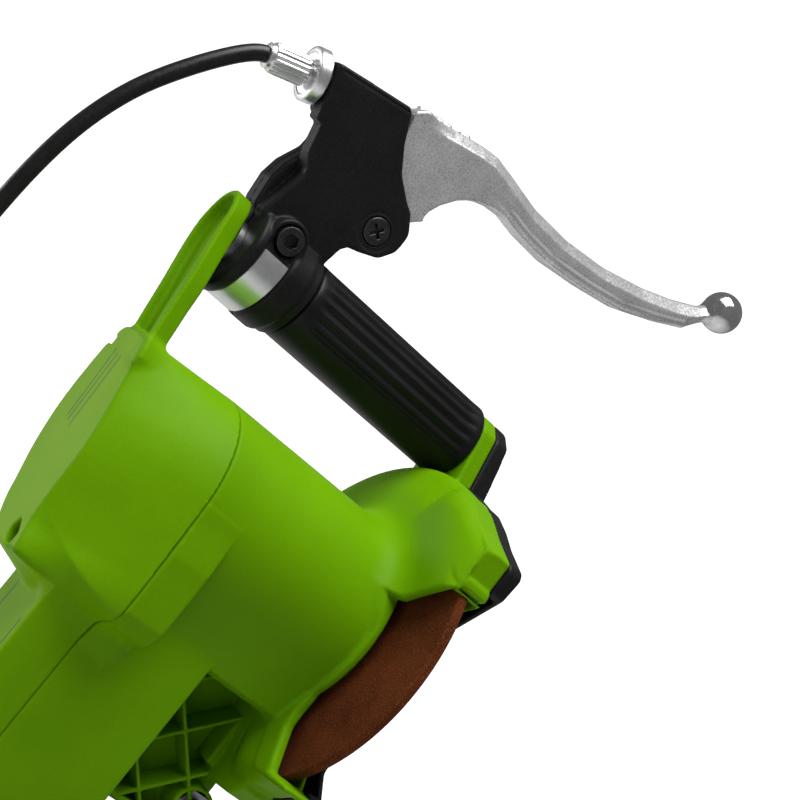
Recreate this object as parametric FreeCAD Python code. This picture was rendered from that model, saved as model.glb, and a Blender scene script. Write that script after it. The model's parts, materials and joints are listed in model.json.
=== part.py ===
import FreeCAD, Part
import os, math

# Electric chainsaw sharpener.  Millimetres, +Z up, -Y is the operator's side.
# Origin: centre of the four bench bolt holes, on the underside of the base.
# The grinding head is drawn in its own frame (x across to the right along the
# motor spindle, a back toward the hinge, z up when the head is lowered) and is
# then set in its parked, raised position on the hinge.

V = FreeCAD.Vector
os.makedirs("parts", exist_ok=True)

# ---- driving dimensions -------------------------------------------------
PARK_DEG = 100.0                    # head raised from horizontal
HINGE_X, HINGE_Y, HINGE_Z = 25.0, 70.0, 125.0     # head x=0 offset, hinge axis
HEAD_A, HEAD_Z = 125.0, -10.5       # hinge axis in the head frame
WHEEL_R, WHEEL_T, WHEEL_BORE = 72.5, 4.5, 11.1
BARREL_R, WALL = 41.1, 3.0
SEAM = -92.0                        # split plane of the motor housing
COVER_END = -133.1
GUARD_R, GUARD_IN = 75.1, 73.3
SPLIT = 13.0                        # green / black split plane of the guard
COVER_X = 21.0
ARM_X0, ARM_X1, ARM_Z0, ARM_Z1, ARM_R = -113.5, -41.5, -28.5, 7.5, 18.0
GRIP_A, GRIP_Z, GRIP_R, TUBE_R = -88.5, 28.7, 17.8, 9.5
STRUT_X0, STRUT_X1, CAP_X = 13.0, 21.0, 27.0      # right strut: green half, black cap
LEV_X, LEV_A = -81.1, -129.0         # lever pivot in the head frame
BOLT_X, BOLT_Y, BOLT_R = 85.0, 105.0, 4.5
TAB_X, TAB_Y, TAB_R = 27.3, -55.0, 66.0
RAIL_TOP = 61.5
WIRE_Y, WIRE_Z = -27.0, 12.5            # brake wire under the platform
CABLE_R = 3.4
FIT = 0.05

# ---- helpers ------------------------------------------------------------
AX = {"x": lambda u, v, w: V(w, u, v), "y": lambda u, v, w: V(u, w, v), "z": lambda u, v, w: V(u, v, w)}


def ring(pts, ax, w, r=0.0):
    """closed wire through pts (u,v[,radius]) with rounded corners"""
    n = len(pts)
    f = AX[ax]
    P2 = [(p[0], p[1]) for p in pts]
    R = [(p[2] if len(p) > 2 else r) for p in pts]
    ends = []
    for i in range(n):
        p, a, b = P2[i], P2[i - 1], P2[(i + 1) % n]
        da = (a[0] - p[0], a[1] - p[1]); db = (b[0] - p[0], b[1] - p[1])
        la, lb = math.hypot(*da), math.hypot(*db)
        da = (da[0] / la, da[1] / la); db = (db[0] / lb, db[1] / lb)
        c = max(-1.0, min(1.0, da[0] * db[0] + da[1] * db[1]))
        th = math.acos(c)
        rr = R[i]
        if rr < 0.05 or th > math.pi - 0.02:
            ends.append((p, None, p)); continue
        t = rr / math.tan(th / 2)
        tm = 0.48 * min(la, lb)
        if t > tm:
            t = tm; rr = t * math.tan(th / 2)
        s = (p[0] + da[0] * t, p[1] + da[1] * t); e = (p[0] + db[0] * t, p[1] + db[1] * t)
        bi = (da[0] + db[0], da[1] + db[1]); lb2 = math.hypot(*bi)
        d = rr / math.sin(th / 2) - rr
        m = (p[0] + bi[0] / lb2 * d, p[1] + bi[1] / lb2 * d)
        ends.append((s, m, e))
    E = []
    for i in range(n):
        s, m, e = ends[i]
        if m:
            E.append(Part.Arc(f(s[0], s[1], w), f(m[0], m[1], w), f(e[0], e[1], w)).toShape())
        s2 = ends[(i + 1) % n][0]
        if math.hypot(s2[0] - e[0], s2[1] - e[1]) > 1e-4:
            E.append(Part.LineSegment(f(e[0], e[1], w), f(s2[0], s2[1], w)).toShape())
    return Part.Wire(E)


def prism(pts, ax, lo, hi, r=0.0):
    d = {"x": V(hi - lo, 0, 0), "y": V(0, hi - lo, 0), "z": V(0, 0, hi - lo)}[ax]
    return Part.Face(ring(pts, ax, lo, r)).extrude(d)


def box(x0, x1, y0, y1, z0, z1):
    return Part.makeBox(x1 - x0, y1 - y0, z1 - z0, V(x0, y0, z0))


def rod(ax, u, v, lo, hi, r, r2=None):
    """cylinder along ax through (u,v); r2 makes a tube's bore"""
    d = {"x": V(1, 0, 0), "y": V(0, 1, 0), "z": V(0, 0, 1)}[ax]
    s = Part.makeCylinder(r, hi - lo, AX[ax](u, v, lo), d)
    if r2:
        s = s.cut(Part.makeCylinder(r2, hi - lo + 2, AX[ax](u, v, lo - 1), d))
    return s


def turned(ax, u, v, prof):
    """solid of revolution; prof is (radius, position along ax) closed"""
    pl = [V(p[0], 0, p[1]) for p in prof]
    s = Part.Face(Part.makePolygon(pl + [pl[0]])).revolve(V(0, 0, 0), V(0, 0, 1), 360)
    if ax == "x":
        s.rotate(V(0, 0, 0), V(0, 1, 0), 90)
    elif ax == "y":
        s.rotate(V(0, 0, 0), V(1, 0, 0), -90)
    s.translate(AX[ax](u, v, 0))
    return s


def fuse(*S):
    s = S[0]
    for t in S[1:]:
        s = s.fuse(t)
    return s.removeSplitter()


def cut(s, *S):
    for t in S:
        s = s.cut(t)
    return s


def H(s):
    """head frame -> parked position"""
    s = s.copy()
    s.translate(V(HINGE_X, -HEAD_A, -HEAD_Z))
    s.rotate(V(0, 0, 0), V(1, 0, 0), -PARK_DEG)
    s.translate(V(0, HINGE_Y, HINGE_Z))
    return s


def hp(x, a, z):
    c, s = math.cos(math.radians(PARK_DEG)), math.sin(math.radians(PARK_DEG))
    return V(x + HINGE_X, HINGE_Y + (a - HEAD_A) * c + (z - HEAD_Z) * s, HINGE_Z - (a - HEAD_A) * s + (z - HEAD_Z) * c)


def hexa(ax, u, v, lo, hi, af):
    k = af / math.sqrt(3.0)
    return prism([(u + k * math.cos(math.radians(60 * i)), v + k * math.sin(math.radians(60 * i))) for i in range(6)], ax, lo, hi)


def screw(ax, u, v, head, tip, r=2.0, hr=3.8, hl=2.6):
    """pan-head screw, head end first"""
    s = 1 if tip > head else -1
    a = sorted((head, head + s * hl)); b = sorted((head + s * (hl - 0.2), tip))
    return fuse(rod(ax, u, v, a[0], a[1], hr), rod(ax, u, v, b[0], b[1], r))


def out(name, s):
    if not s.isValid():
        s = s.removeSplitter()
    sol = s.Solids
    s2 = sol[0] if len(sol) == 1 else Part.makeCompound(sol)
    print("%-22s solids %d vol %.0f valid %s" % (name, len(sol), s2.Volume, s2.isValid()))
    s2.exportStep("parts/%s.step" % name)


def both(*S):
    return Part.makeCompound([q for s in S for q in s.Solids])


# =========================================================================
# BASE
# =========================================================================
plate = prism([(-100, -120, 16), (100, -120, 16), (100, 175, 16), (-100, 175, 16)], "z", 0, 10)
plate = cut(plate, prism([(-70, 20, 8), (92, 20, 8), (92, 165, 8), (-70, 165, 8)], "z", -1, 5))
for sx in (-1, 1):
    for sy in (-1, 1):
        plate = fuse(plate, rod("z", sx * BOLT_X, sy * BOLT_Y, 0, 13, 11))
        plate = cut(plate, rod("z", sx * BOLT_X, sy * BOLT_Y, -1, 14, BOLT_R))
platform = fuse(rod("z", TAB_X, TAB_Y, 0, 29.7, 71.5), box(-100, -30, -66, -14, 0, 29.7))
platform = cut(platform, rod("z", TAB_X, TAB_Y, -1, 22, 66), box(-96, -28, -62, -18, -1, 25.7))
base = fuse(plate, platform)
base = cut(base, rod("z", TAB_X, TAB_Y, -1, 22, 66), box(-96, -28, -62, -18, -1, 25.7))
# yoke cheeks
for x0, x1 in ((-99.5, -89.5), (-16.0, -6.0)):
    ck = prism([(24, 8, 0), (118, 8, 0), (86, 120, 14), (86, 141, 15.9), (54, 141, 15.9), (54, 118, 14)], "x", x0, x1)
    base = fuse(base, ck)
# cross web below the hinge and the rest that the raised head leans on
base = fuse(base, box(-99.5, -6, 63, 75, 8, 100))
base = fuse(base, prism([(90, 92), (90, 112), (107, 92)], "x", -99.5, -6))
base = fuse(base, prism([(88.7, 92), (88.7, 122), (93.6, 149.5, 3), (101, 149.5, 3), (107, 92)], "x", -99.5, -19))
# stop post for the depth screw
base = fuse(base, prism([(17, 28, 4), (39, 28, 4), (39, 52, 4), (17, 52, 4)], "z", 8, 122.7))
base = fuse(base, prism([(52, 8), (52, 90), (86, 8)], "x", 25, 31), prism([(17, 8), (17, 60), (-6, 8)], "y", 37, 43))
# bores
base = cut(base, rod("x", HINGE_Y, HINGE_Z, -101, -4, 6.03))
base = cut(base, rod("z", TAB_X, TAB_Y, 20, 31, 13.05))
base = cut(base, rod("z", TAB_X, -105.0, 20, 31, 4.02))
base = cut(base, rod("x", WIRE_Y, WIRE_Z, -101, -90, 5.02))
out("base_casting", base)

out("hinge_pin", fuse(rod("x", HINGE_Y, HINGE_Z, -101.5, -4.5, 6.0), rod("x", HINGE_Y, HINGE_Z, -105, -101.4, 9.0)))
out("lock_stud", rod("z", TAB_X, -105.0, 22.2, 49.0, 4.0))
knob = cut(prism([(TAB_X + (12.0 if k % 2 else 10.2) * math.cos(math.radians(22.5 * k)), -105 + (12.0 if k % 2 else 10.2) * math.sin(math.radians(22.5 * k))) for k in range(16)], "z", 37.3, 52.0),
           rod("z", TAB_X, -105.0, 36, 49.5, 4.05))
out("lock_knob", knob)

# =========================================================================
# SWIVEL TABLE AND CHAIN CLAMP
# =========================================================================
table = rod("z", TAB_X, TAB_Y, 30.0, 36.0, TAB_R)
slot = []
for k in range(-38, 39, 4):
    slot.append((math.sin(math.radians(k)), -math.cos(math.radians(k))))
band = [(TAB_X + 55 * s, TAB_Y + 55 * c) for s, c in slot] + [(TAB_X + 45 * s, TAB_Y + 45 * c) for s, c in reversed(slot)]
table = cut(table, prism(band, "z", 29, 37))
for s, c in (slot[0], slot[-1]):
    table = cut(table, rod("z", TAB_X + 50 * s, TAB_Y + 50 * c, 29, 37, 5))
table = cut(table, rod("z", TAB_X, TAB_Y, 29, 37, 9.05), rod("z", TAB_X, TAB_Y, 29, 32.1, 15.05))
for tx in (-30, 30):
    table = cut(table, rod("z", TAB_X + tx, TAB_Y + 14, 29, 37, 2.05), rod("z", TAB_X + tx, TAB_Y + 14, 29, 32.05, 3.7))
out("swivel_table", table)
spin = fuse(rod("z", TAB_X, TAB_Y, 6.0, 35.8, 9.0), rod("z", TAB_X, TAB_Y, 29.9, 32.0, 15.0), rod("z", TAB_X, TAB_Y, 22.2, 30.0, 13.0))
out("table_spindle", cut(spin, rod("z", TAB_X, TAB_Y, 5, 37, 4.5)))
out("spindle_lock_nut", cut(rod("z", TAB_X, TAB_Y, 16.5, 21.9, 14.0), rod("z", TAB_X, TAB_Y, 16, 22.5, 9.05)))

PX, PY, PZ = TAB_X - 30.0, TAB_Y + 13.5, 54.0          # chain stop pivot
# rails: the chain's drive links stand in the slot between them
Y0 = TAB_Y
rear = prism([(Y0 + 0.9, RAIL_TOP), (Y0 + 4.2, RAIL_TOP), (Y0 + 6.2, 52), (Y0 + 6.2, 44), (Y0 + 22, 44, 3), (Y0 + 22, 36.0), (Y0 + 6.0, 36.0), (Y0 + 6.0, 42), (Y0 + 2.8, 42), (Y0 + 2.8, 50), (Y0 + 0.9, 51.5)], "x", TAB_X - 75, TAB_X + 75)
rear = cut(rear, box(TAB_X - 76, TAB_X - 40, Y0 + 6.25, Y0 + 23, 35, 46), box(TAB_X + 40, TAB_X + 76, Y0 + 10, Y0 + 23, 35, 46))
for tx in (-60, -20, 20, 60):
    rear = cut(rear, Part.makeCylinder(2.05, 14, V(TAB_X + tx, Y0 - 1, 46.5), V(0, 1, 0)))
for tx in (-30, 30):
    rear = cut(rear, rod("z", TAB_X + tx, Y0 + 14, 35, 40.5, 2.05))
rear = fuse(rear, box(PX - 22, PX - 14, Y0 + 5.5, Y0 + 20, 36.0, 43.7), box(PX - 22, -12, Y0 + 16, Y0 + 20, 36.0, 43.7))
rear = cut(rear, rod("x", Y0 + 13.5, 40.0, PX - 23, PX - 8, 2.45))
out("fixed_jaw", rear)
out("table_screws", both(*[fuse(rod("z", TAB_X + tx, Y0 + 14, 31.9, 40.0, 2.0), rod("z", TAB_X + tx, Y0 + 14, 30.2, 32.0, 3.6)) for tx in (-30, 30)]))
GAP = 1.8
F0 = Y0 + 0.9 - GAP
front = prism([(F0, RAIL_TOP), (F0 - 3.3, RAIL_TOP), (F0 - 5.3, 52), (F0 - 5.3, 44), (F0 - 16, 44, 3), (F0 - 16, 36.4), (F0 - 5.0, 36.4), (F0 - 5.0, 42), (F0 - 1.9, 42), (F0 - 1.9, 50), (F0, 51.5)], "x", TAB_X - 75, TAB_X + 75)
front = cut(front, box(TAB_X - 76, TAB_X - 30, F0 - 17, F0 - 8, 35, 46), box(TAB_X + 30, TAB_X + 76, F0 - 17, F0 - 8, 35, 46))
for tx in (-60, -20, 20, 60):
    front = cut(front, Part.makeCylinder(2.05, 20, V(TAB_X + tx, F0 - 18, 46.5), V(0, 1, 0)))
out("moving_jaw", front)
out("jaw_guide_pins", both(*[Part.makeCylinder(2.0, 14.2, V(TAB_X + tx, F0 - 8.0, 46.5), V(0, 1, 0)) for tx in (-60, -20, 20, 60)]))
wedge = fuse(rod("z", TAB_X, TAB_Y, 10.0, 37.5, 3.6), prism([(TAB_Y - 1.4, 37.4), (TAB_Y + 1.4, 37.4), (TAB_Y + 0.6, 40.6), (TAB_Y - 0.6, 40.6)], "x", TAB_X - 2.5, TAB_X + 2.5))
out("pull_rod", wedge)
# crank below the platform, turning on the hollow spindle; its cam draws the rod down
crank = fuse(rod("z", TAB_X, TAB_Y, 8.4, 16.0, 13.5), prism([(TAB_X - 5.5, TAB_Y), (TAB_X + 5.5, TAB_Y), (TAB_X + 4, WIRE_Y), (TAB_X - 4, WIRE_Y)], "z", 9.0, 16.0), rod("z", TAB_X, WIRE_Y, 9.0, 16.0, 4.0))
crank = cut(crank, rod("z", TAB_X, TAB_Y, 8, 17, 9.05))
out("clamp_crank", crank)
out("crank_clip", cut(rod("z", TAB_X, TAB_Y, 6.4, 7.8, 12.0, 9.0), box(TAB_X - 1.5, TAB_X + 1.5, TAB_Y - 13, TAB_Y - 7, 5, 9)))
# inner wire of the brake cable, led to the crank
out("brake_wire", rod("x", WIRE_Y, WIRE_Z, -104, TAB_X - 4.6, 0.9))
out("cable_lower_adjuster", cut(fuse(rod("x", WIRE_Y, WIRE_Z, -107.5, -92, 5.0), hexa("x", WIRE_Y, WIRE_Z, -104.5, -100.2, 13)), rod("x", WIRE_Y, WIRE_Z, -109, -91, 1.2)))

# chain stop: bracket on the rear jaw, flip-over pawl and its fine adjuster
brk = fuse(box(PX - 12, PX + 12, Y0 + 7.0, Y0 + 20, 44.1, 47.4), box(PX - 12, PX - 8, Y0 + 8.5, Y0 + 18.5, 46, 58), box(PX + 8, PX + 12, Y0 + 8.5, Y0 + 18.5, 46, 58))
brk = cut(brk, rod("x", PY, PZ, PX - 13, PX + 13, 2.02))
out("pawl_bracket", brk)
out("pawl_pin", rod("x", PY, PZ, PX - 12.5, PX + 12.5, 2.0))
pawl = prism([(PY + 5, PZ - 3.4, 1), (PY + 5, PZ + 3.5, 1.5), (Y0 + 3.2, RAIL_TOP + 3.4, 1.2), (Y0 - 3.0, RAIL_TOP + 3.2, 1), (Y0 - 3.0, RAIL_TOP + 0.6, 0.4), (Y0 + 5.4, RAIL_TOP + 0.6, 0.8), (PY - 4.5, PZ + 2, 1), (PY - 4, PZ - 3.4, 1)], "x", PX - 7.5, PX + 7.5)
pawl = fuse(pawl, prism([(PX + 4, Y0 - 3.0), (PX + 16, Y0 - 2.0, 0.5), (PX + 16, Y0 + 1.6, 0.5), (PX + 4, Y0 + 5)], "z", RAIL_TOP + 0.7, RAIL_TOP + 3.0))
pawl = cut(pawl, rod("x", PY, PZ, PX - 9, PX + 9, 2.05))
out("stop_pawl", pawl)
adj = fuse(rod("x", Y0 + 13.5, 40.0, PX - 45, PX - 12, 2.4), rod("x", Y0 + 13.5, 40.0, PX - 57, PX - 44.9, 7.0))
out("stop_adjuster", cut(adj, rod("x", Y0 + 13.5, 40.0, PX - 58, PX - 50, 2.0)))

# =========================================================================
# BOWDEN CABLE  (from the lever's adjuster down to the base)
# =========================================================================
route = [hp(-158.9, -150.8, GRIP_Z), hp(-163.0, -149.32, GRIP_Z), hp(-178.0, -128.6, GRIP_Z), hp(-191.7, -103.0, GRIP_Z), hp(-199.4, -70.0, GRIP_Z),
         hp(-200.2, -20.0, GRIP_Z), V(-175.2, 106.0, 155.0), V(-175.0, 70.0, 82.0), V(-169.0, 30.0, 32.0), V(-158.0, -8.0, 15.5), V(-140.0, WIRE_Y, WIRE_Z), V(-107.6, WIRE_Y, WIRE_Z)]
edges, prev, total = [], route[0], 0.0
for i in range(1, len(route) - 1):
    p, a, b = route[i], route[i - 1], route[i + 1]
    da, db = (a - p), (b - p)
    la, lb = da.Length, db.Length
    da.normalize(); db.normalize()
    th = math.acos(max(-1, min(1, da.dot(db))))
    if th > math.pi - 0.02:
        continue
    t = 0.45 * min(la, lb)
    r = t * math.tan(th / 2)
    bi = da + db
    bi.normalize()
    d = r / math.sin(th / 2) - r
    s, m, e = p + da * t, p + bi * d, p + db * t
    edges.append(Part.LineSegment(prev, s).toShape()); edges.append(Part.Arc(s, m, e).toShape())
    prev = e
    print("cable arc radius %.1f turn %.1f deg" % (r, 180 - math.degrees(th)))
edges.append(Part.LineSegment(prev, route[-1]).toShape())
path = Part.Wire(edges)
d0 = route[1] - route[0]
d0.normalize()
prof = Part.Wire([Part.Circle(route[0], d0, CABLE_R).toShape()])
cable = path.makePipeShell([prof], True, False)
print("cable length %.1f  volume ratio %.4f" % (path.Length, cable.Volume / (math.pi * CABLE_R ** 2 * path.Length)))
out("brake_cable", cable)

# =========================================================================
# HEAD: housings
# =========================================================================
S1 = [(-41.1, 0), (-40, -9.5), (-37, -18), (-31, -27), (-23, -34.1), (-12, -39.3), (0, -41.1), (15, -42.2), (31, -43.4), (43, -43.4), (50, -39), (56.5, -29.2), (64.8, -22.6), (70, 0), (60, 14), (40, 25), (24, 35), (10, 40), (-5, 40.8), (-20, 36), (-31, 27), (-37, 18), (-40, 9.5)]
S3 = [(-39.2, 8), (-38.6, 1.5), (-36, -1), (-29, -3.8), (-21, -7), (-9, -12.5), (6.6, -17.7), (22.8, -19.4), (35.6, -21.5), (44, -24.8), (48.7, -26.6), (49.6, -21), (50.9, -13.9), (50, -3), (45.5, 5), (38, 13), (20, 23.5), (3, 29.8), (-10, 31.8), (-24, 32.2), (-33, 30.7), (-37.8, 28), (-39.3, 20)]
S2 = [(p[0] + (q[0] - p[0]) * 0.86, p[1] + (q[1] - p[1]) * 0.86) for p, q in zip(S1, S3)]


def inset(P, d, c=(4.0, -4.0)):
    o = []
    for p in P:
        l = math.hypot(p[0] - c[0], p[1] - c[1])
        o.append((p[0] - (p[0] - c[0]) / l * d, p[1] - (p[1] - c[1]) / l * d))
    return o


def loft(secs):
    W = []
    for x, P in secs:
        pl = [V(x, p[0], p[1]) for p in P]
        W.append(Part.makePolygon(pl + [pl[0]]))
    return Part.makeLoft(W, True, True)


def arm(x0, x1, off=0.0, a0=48.0):
    s = prism([(a0, ARM_Z0 + off), (HEAD_A, ARM_Z0 + off), (HEAD_A, ARM_Z1 - off), (a0, ARM_Z1 - off)], "x", x0, x1)
    return fuse(s, rod("x", HEAD_A, HEAD_Z, x0, x1, ARM_R - off))


SCREWS = [(44.5, -16.0), (-27.0, 23.5), (102.0, 0.5)]      # housing screws (a, z)

# -- motor cover: the left shell, with its half of the arm and the C-section strut
mc = fuse(loft([(SEAM - 0.2, S1), (-127.5, S2)]), loft([(-127.5, S2), (COVER_END, S3)]))
mc = fuse(mc, arm(ARM_X0, SEAM - 0.2))
strut = prism([(-30, -0.5), (-43, 3), (-62, 8.8), (-80, 14.2), (-92, 17.8), (-99.5, 20.6, 4), (-105.6, 25.4, 4), (-104.6, 34.0, 5), (-98.5, 39.6, 6), (-90, 41.4, 8), (-82, 39.6, 10), (-69.2, 34.6, 20), (-59.8, 30.2), (-49.4, 26.2), (-30, 20.5)], "x", COVER_END, -124.6)
mc = fuse(mc, strut)
cav = loft([(SEAM + 0.5, inset(S1, WALL)), (-125.0, inset(S2, WALL + 1.5))])
acav = arm(ARM_X0 + WALL, SEAM + 0.5, WALL, 44.0)
mc = cut(mc, cav, acav)
pocket = prism([(-45, 6), (-62, 11.1), (-90, 19.6), (-98, 22.6, 4), (-102.4, 26.8, 4), (-101, 30, 4), (-95, 31.6, 4), (-88, 31.2, 12), (-66, 22.8, 8), (-47, 18)], "x", COVER_END - 1, -127.2)
mc = cut(mc, pocket)
for a, z in SCREWS[:2]:
    mc = fuse(mc, rod("x", a, z, -126.5, SEAM - 0.2, 5.0))
mc = fuse(mc, rod("x", SCREWS[2][0], SCREWS[2][1], ARM_X0 + 1, SEAM - 0.2, 5.0))
# bearing seat at the cover end
mc = fuse(mc, rod("x", 0, 0, -126.5, -110, 14.0))
mc = cut(mc, rod("x", 0, 0, -118, -109, 11.02), rod("x", 0, 0, -121, -109, 6.0))
for a, z in SCREWS[:2]:
    mc = cut(mc, rod("x", a, z, -140, SEAM + 1, 2.05), rod("x", a, z, -140, -122.5, 4.0))
a, z = SCREWS[2]
mc = cut(mc, rod("x", a, z, -114, SEAM + 1, 2.05), rod("x", a, z, -115, ARM_X0 + 3.2, 4.0))
# boss for the hinge bush, guide grooves on the arm end, handle screw hole
mc = fuse(mc, rod("x", HEAD_A, HEAD_Z, ARM_X0, SEAM - 0.2, 12.0))
mc = cut(mc, rod("x", HEAD_A, HEAD_Z, ARM_X0 - 1, SEAM + 1, 9.02))
mc = cut(mc, rod("x", GRIP_A, GRIP_Z, -127.1, -124, 3.65))
out("motor_cover", H(mc))

# -- main housing: barrel, box, arm half, rib plate, wheel guard and strut half
mh = rod("x", 0, 0, SEAM, -1.0, BARREL_R)
mh = fuse(mh, prism([(0, -41.1), (15, -42.2), (31, -43.4), (43, -43.4, 2), (49, -38), (52, -29), (54, -28.5), (54, 7.5), (46, 17), (36, 27), (20, 36), (0, 38)], "x", SEAM, -74.0))
mh = fuse(mh, prism([(5, -40.5), (13.3, -38.9), (43, -28.6), (54, -28.5), (54, 7.5), (30, 28), (5, 39)], "x", -74.5, ARM_X1))
mh = fuse(mh, prism([(5, -40.5), (13.3, -38.9), (43, -28.6, 1.5), (45, -22), (45, 3), (30, 28), (5, 39)], "x", -74.5, -5.0))
mh = fuse(mh, arm(SEAM, ARM_X1))
# rib plate beside the arm
mh = fuse(mh, cut(box(-42, 13, 20, 106, 5.5, 8.5), rod("x", 0, 0, -3, 14, GUARD_IN)), box(-42, 11, 103, 106, -7.5, 8.5))
cavm = rod("x", 0, 0, SEAM - 1, -5.0, BARREL_R - WALL)
boxc = prism([(0, -38), (15, -39.2), (31, -40.4), (42, -40.4), (47, -35), (49, -25.5), (60, -25.5), (60, 4.5), (50, 4.5), (34, 24), (20, 32), (0, 34)], "x", SEAM - 1, -77.0)
acm = arm(SEAM - 1, ARM_X1 - WALL, WALL, 38.0)
mh = cut(mh, cavm, boxc, acm, prism([(0, -37.5), (12.4, -35.6), (39.3, -26.2), (41.8, -20), (41.8, 2), (27, 24), (0, 34)], "x", -77.5, -9.0))
# wheel guard, green half
corner = [(-60, 20), (-72, 12), (-73.8, 0), (-73.6, -8.5), (-72.2, -24.5), (-68.6, -34.9), (-64.0, -45.3), (-58.7, -59.8, 2.0), (-56.4, -60.8, 1.5), (-45.5, -61.0), (-44.0, -62.8), (-41.0, -63.4, 1), (-39.4, -60), (-39.4, -40), (-45, 0)]
lowarm = [(25, -20), (39.6, -19.7), (60, -33.9, 3), (62, -37.4, 3), (58.7, -62.4, 1), (56.6, -61.5), (57.5, -45.6), (41, -34), (25, -34)]
ex = [(-40.4, -76), (-40.0, -65.5), (-39.3, -64.2), (-29.5, -51.0), (-22.9, -42.8)] + [(43.4 * math.cos(math.radians(d)), -43.4 * math.sin(math.radians(d))) for d in (120, 112, 104, 96, 88, 80, 72, 64, 56)] + [(30, -35.2), (35, -34.2), (41.7, -35.9), (57.5, -46.0), (56.6, -76)]
rear_r = [(30, 30), (66, 36), (79, -6, 2), (76.5, -25.5, 2), (70.5, -32.6, 2), (60, -30), (45, 0)]
wall = fuse(rod("x", 0, 0, -5.0, -1.2, GUARD_R), prism(corner, "x", -5.0, -1.2), prism(lowarm, "x", -5.0, -1.2))
rim = rod("x", 0, 0, -1.3, SPLIT, GUARD_R)
cornersolid = prism(corner, "x", -1.3, SPLIT)
lowsolid = prism(lowarm, "x", -1.3, SPLIT)
rsolid = prism(rear_r, "x", -1.3, SPLIT)
g = fuse(wall, rim, cornersolid, lowsolid, rsolid)
g = cut(g, rod("x", 0, 0, -1.2, SPLIT + 1, GUARD_IN))
g = cut(g, prism(ex, "x", -6, SPLIT + 1))
hollow = prism([(-66, -38), (-61.5, -47.5), (-56.6, -57.3), (-46, -58.3), (-46, -50)], "x", 2.0, SPLIT + 1)
g = cut(g, cut(hollow, rod("x", 0, 0, 0, 20, GUARD_R)))
g = fuse(g, rod("x", 0, 0, -5.0, -1.2, BARREL_R + 2.3))
# strut half that carries the handle's right end
rst = [(-60, 1.8), (-73.8, 6.3), (-99.5, 14.6, 5), (-104.6, 22, 8), (-105.0, 34, 10), (-98, 46.5, 12), (-86, 47.5, 12), (-66, 40, 8), (-58, 52)]
rs = cut(prism(rst, "x", STRUT_X0, STRUT_X1), rod("x", 0, 0, 0, 30, GUARD_R + 0.1))
root = cut(prism([(-70, -10), (-77, -3.5, 2), (-80.0, 3), (-78.5, 9), (-74.5, 13), (-66, 13)], "x", 3.5, STRUT_X0 + 1), rod("x", 0, 0, 0, 30, GUARD_R - 0.6))
root2 = cut(prism([(-58, 42), (-64, 52), (-72, 51), (-71, 41), (-62, 36)], "x", 6.0, STRUT_X0 + 1), rod("x", 0, 0, 0, 30, GUARD_R - 0.6))
g = fuse(g, rs, cut(root, rod("x", 0, 0, STRUT_X0, 30, GUARD_R + 0.1)), cut(root2, rod("x", 0, 0, STRUT_X0, 30, GUARD_R + 0.1)))
g = cut(g, rod("x", GRIP_A, GRIP_Z, 12, 19, TUBE_R + 0.05), rod("x", GRIP_A, GRIP_Z, 12, 22, 2.2))
mh = fuse(mh, g)
# end wall openings: bearing seat and spindle
mh = cut(mh, rod("x", 0, 0, -6, 2, 12.0))
mh = fuse(mh, rod("x", 0, 0, -12.5, -3.2, 20.0, 13.02))
mh = cut(mh, rod("x", 0, 0, -12.6, -3.9, 13.02), rod("x", 0, 0, -3.0, 1, 23.5))
# ribs
for k in range(-3, 4):
    c = k * 28.5
    r1 = Part.makeBox(140, 1.4, 13.2, V(-70, -0.7, -7.4))
    r1.rotate(V(0, 0, 0), V(0, 0, 1), 45); r1.translate(V(-14.0, 73.0 + c + 3.2, 0))
    r2 = Part.makeBox(140, 1.4, 13.2, V(-70, -0.7, -7.4))
    r2.rotate(V(0, 0, 0), V(0, 0, 1), -45); r2.translate(V(-14.0, 73.0 + c - 11.0, 0))
    lim = cut(box(-41.6, 5.0, 40, 105, -7.4, 5.8), rod("x", 0, 0, -5.2, 20, GUARD_R - 0.5))
    for r_ in (r1, r2):
        q = r_.common(lim)
        if q.Volume > 1:
            mh = fuse(mh, q)
# depth screw boss
DX, DA = 3.0, 92.5
mh = fuse(mh, rod("z", DX, DA, -7.5, 14, 9.0), box(-6, 12.9, 76, 106, 5.5, 8.5))
mh = cut(mh, rod("z", DX, DA, -9, 16, 4.05), rod("z", DX, DA, -9, -0.5, 7.3))
for a, z in SCREWS:
    x1 = -60.0 if a > 90 else (-84.0 if a < 0 else -76.0)
    mh = fuse(mh, rod("x", a, z, SEAM, x1, 5.0))
    if a < 90 and a > 0:
        mh = fuse(mh, box(SEAM, x1, a - 0.9, a + 0.9, -41.5, z))
    mh = cut(mh, rod("x", a, z, SEAM - 1, x1 - 4, 2.05))
mh = fuse(mh, rod("x", HEAD_A, HEAD_Z, -59, ARM_X1, 12.0))
mh = cut(mh, rod("x", HEAD_A, HEAD_Z, SEAM - 1, ARM_X1 + 1, 9.02))
# switch and cord entry on the top face of the arm
mh = cut(mh, box(-82, -62, 58, 88, 3, 9), rod("z", -51.0, 72.0, 3, 9, 5.02))
GS = [(-52.6, -55.0), (-97.5, 37.0), (57.0, 57.0), (75.0, -18.0)]      # guard screws
mh = fuse(mh, cut(rod("x", 57, 57, 3, SPLIT, 6.8), rod("x", 0, 0, 0, 20, GUARD_IN)))
for a, z in GS:
    if (a, z) != (-97.5, 37.0):
        mh = fuse(mh, cut(rod("x", a, z, 2.0, SPLIT, 4.2), rod("x", 0, 0, 0, 20, GUARD_IN)))
        mh = cut(mh, rod("x", a, z, 4.0, SPLIT + 1, 1.55))
out("main_housing", H(mh))
out("housing_screws", H(both(*[screw("x", a, z, (-113.2 if a > 90 else -125.2), (-66 if a > 90 else -88.6)) for a, z in SCREWS])))

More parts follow.
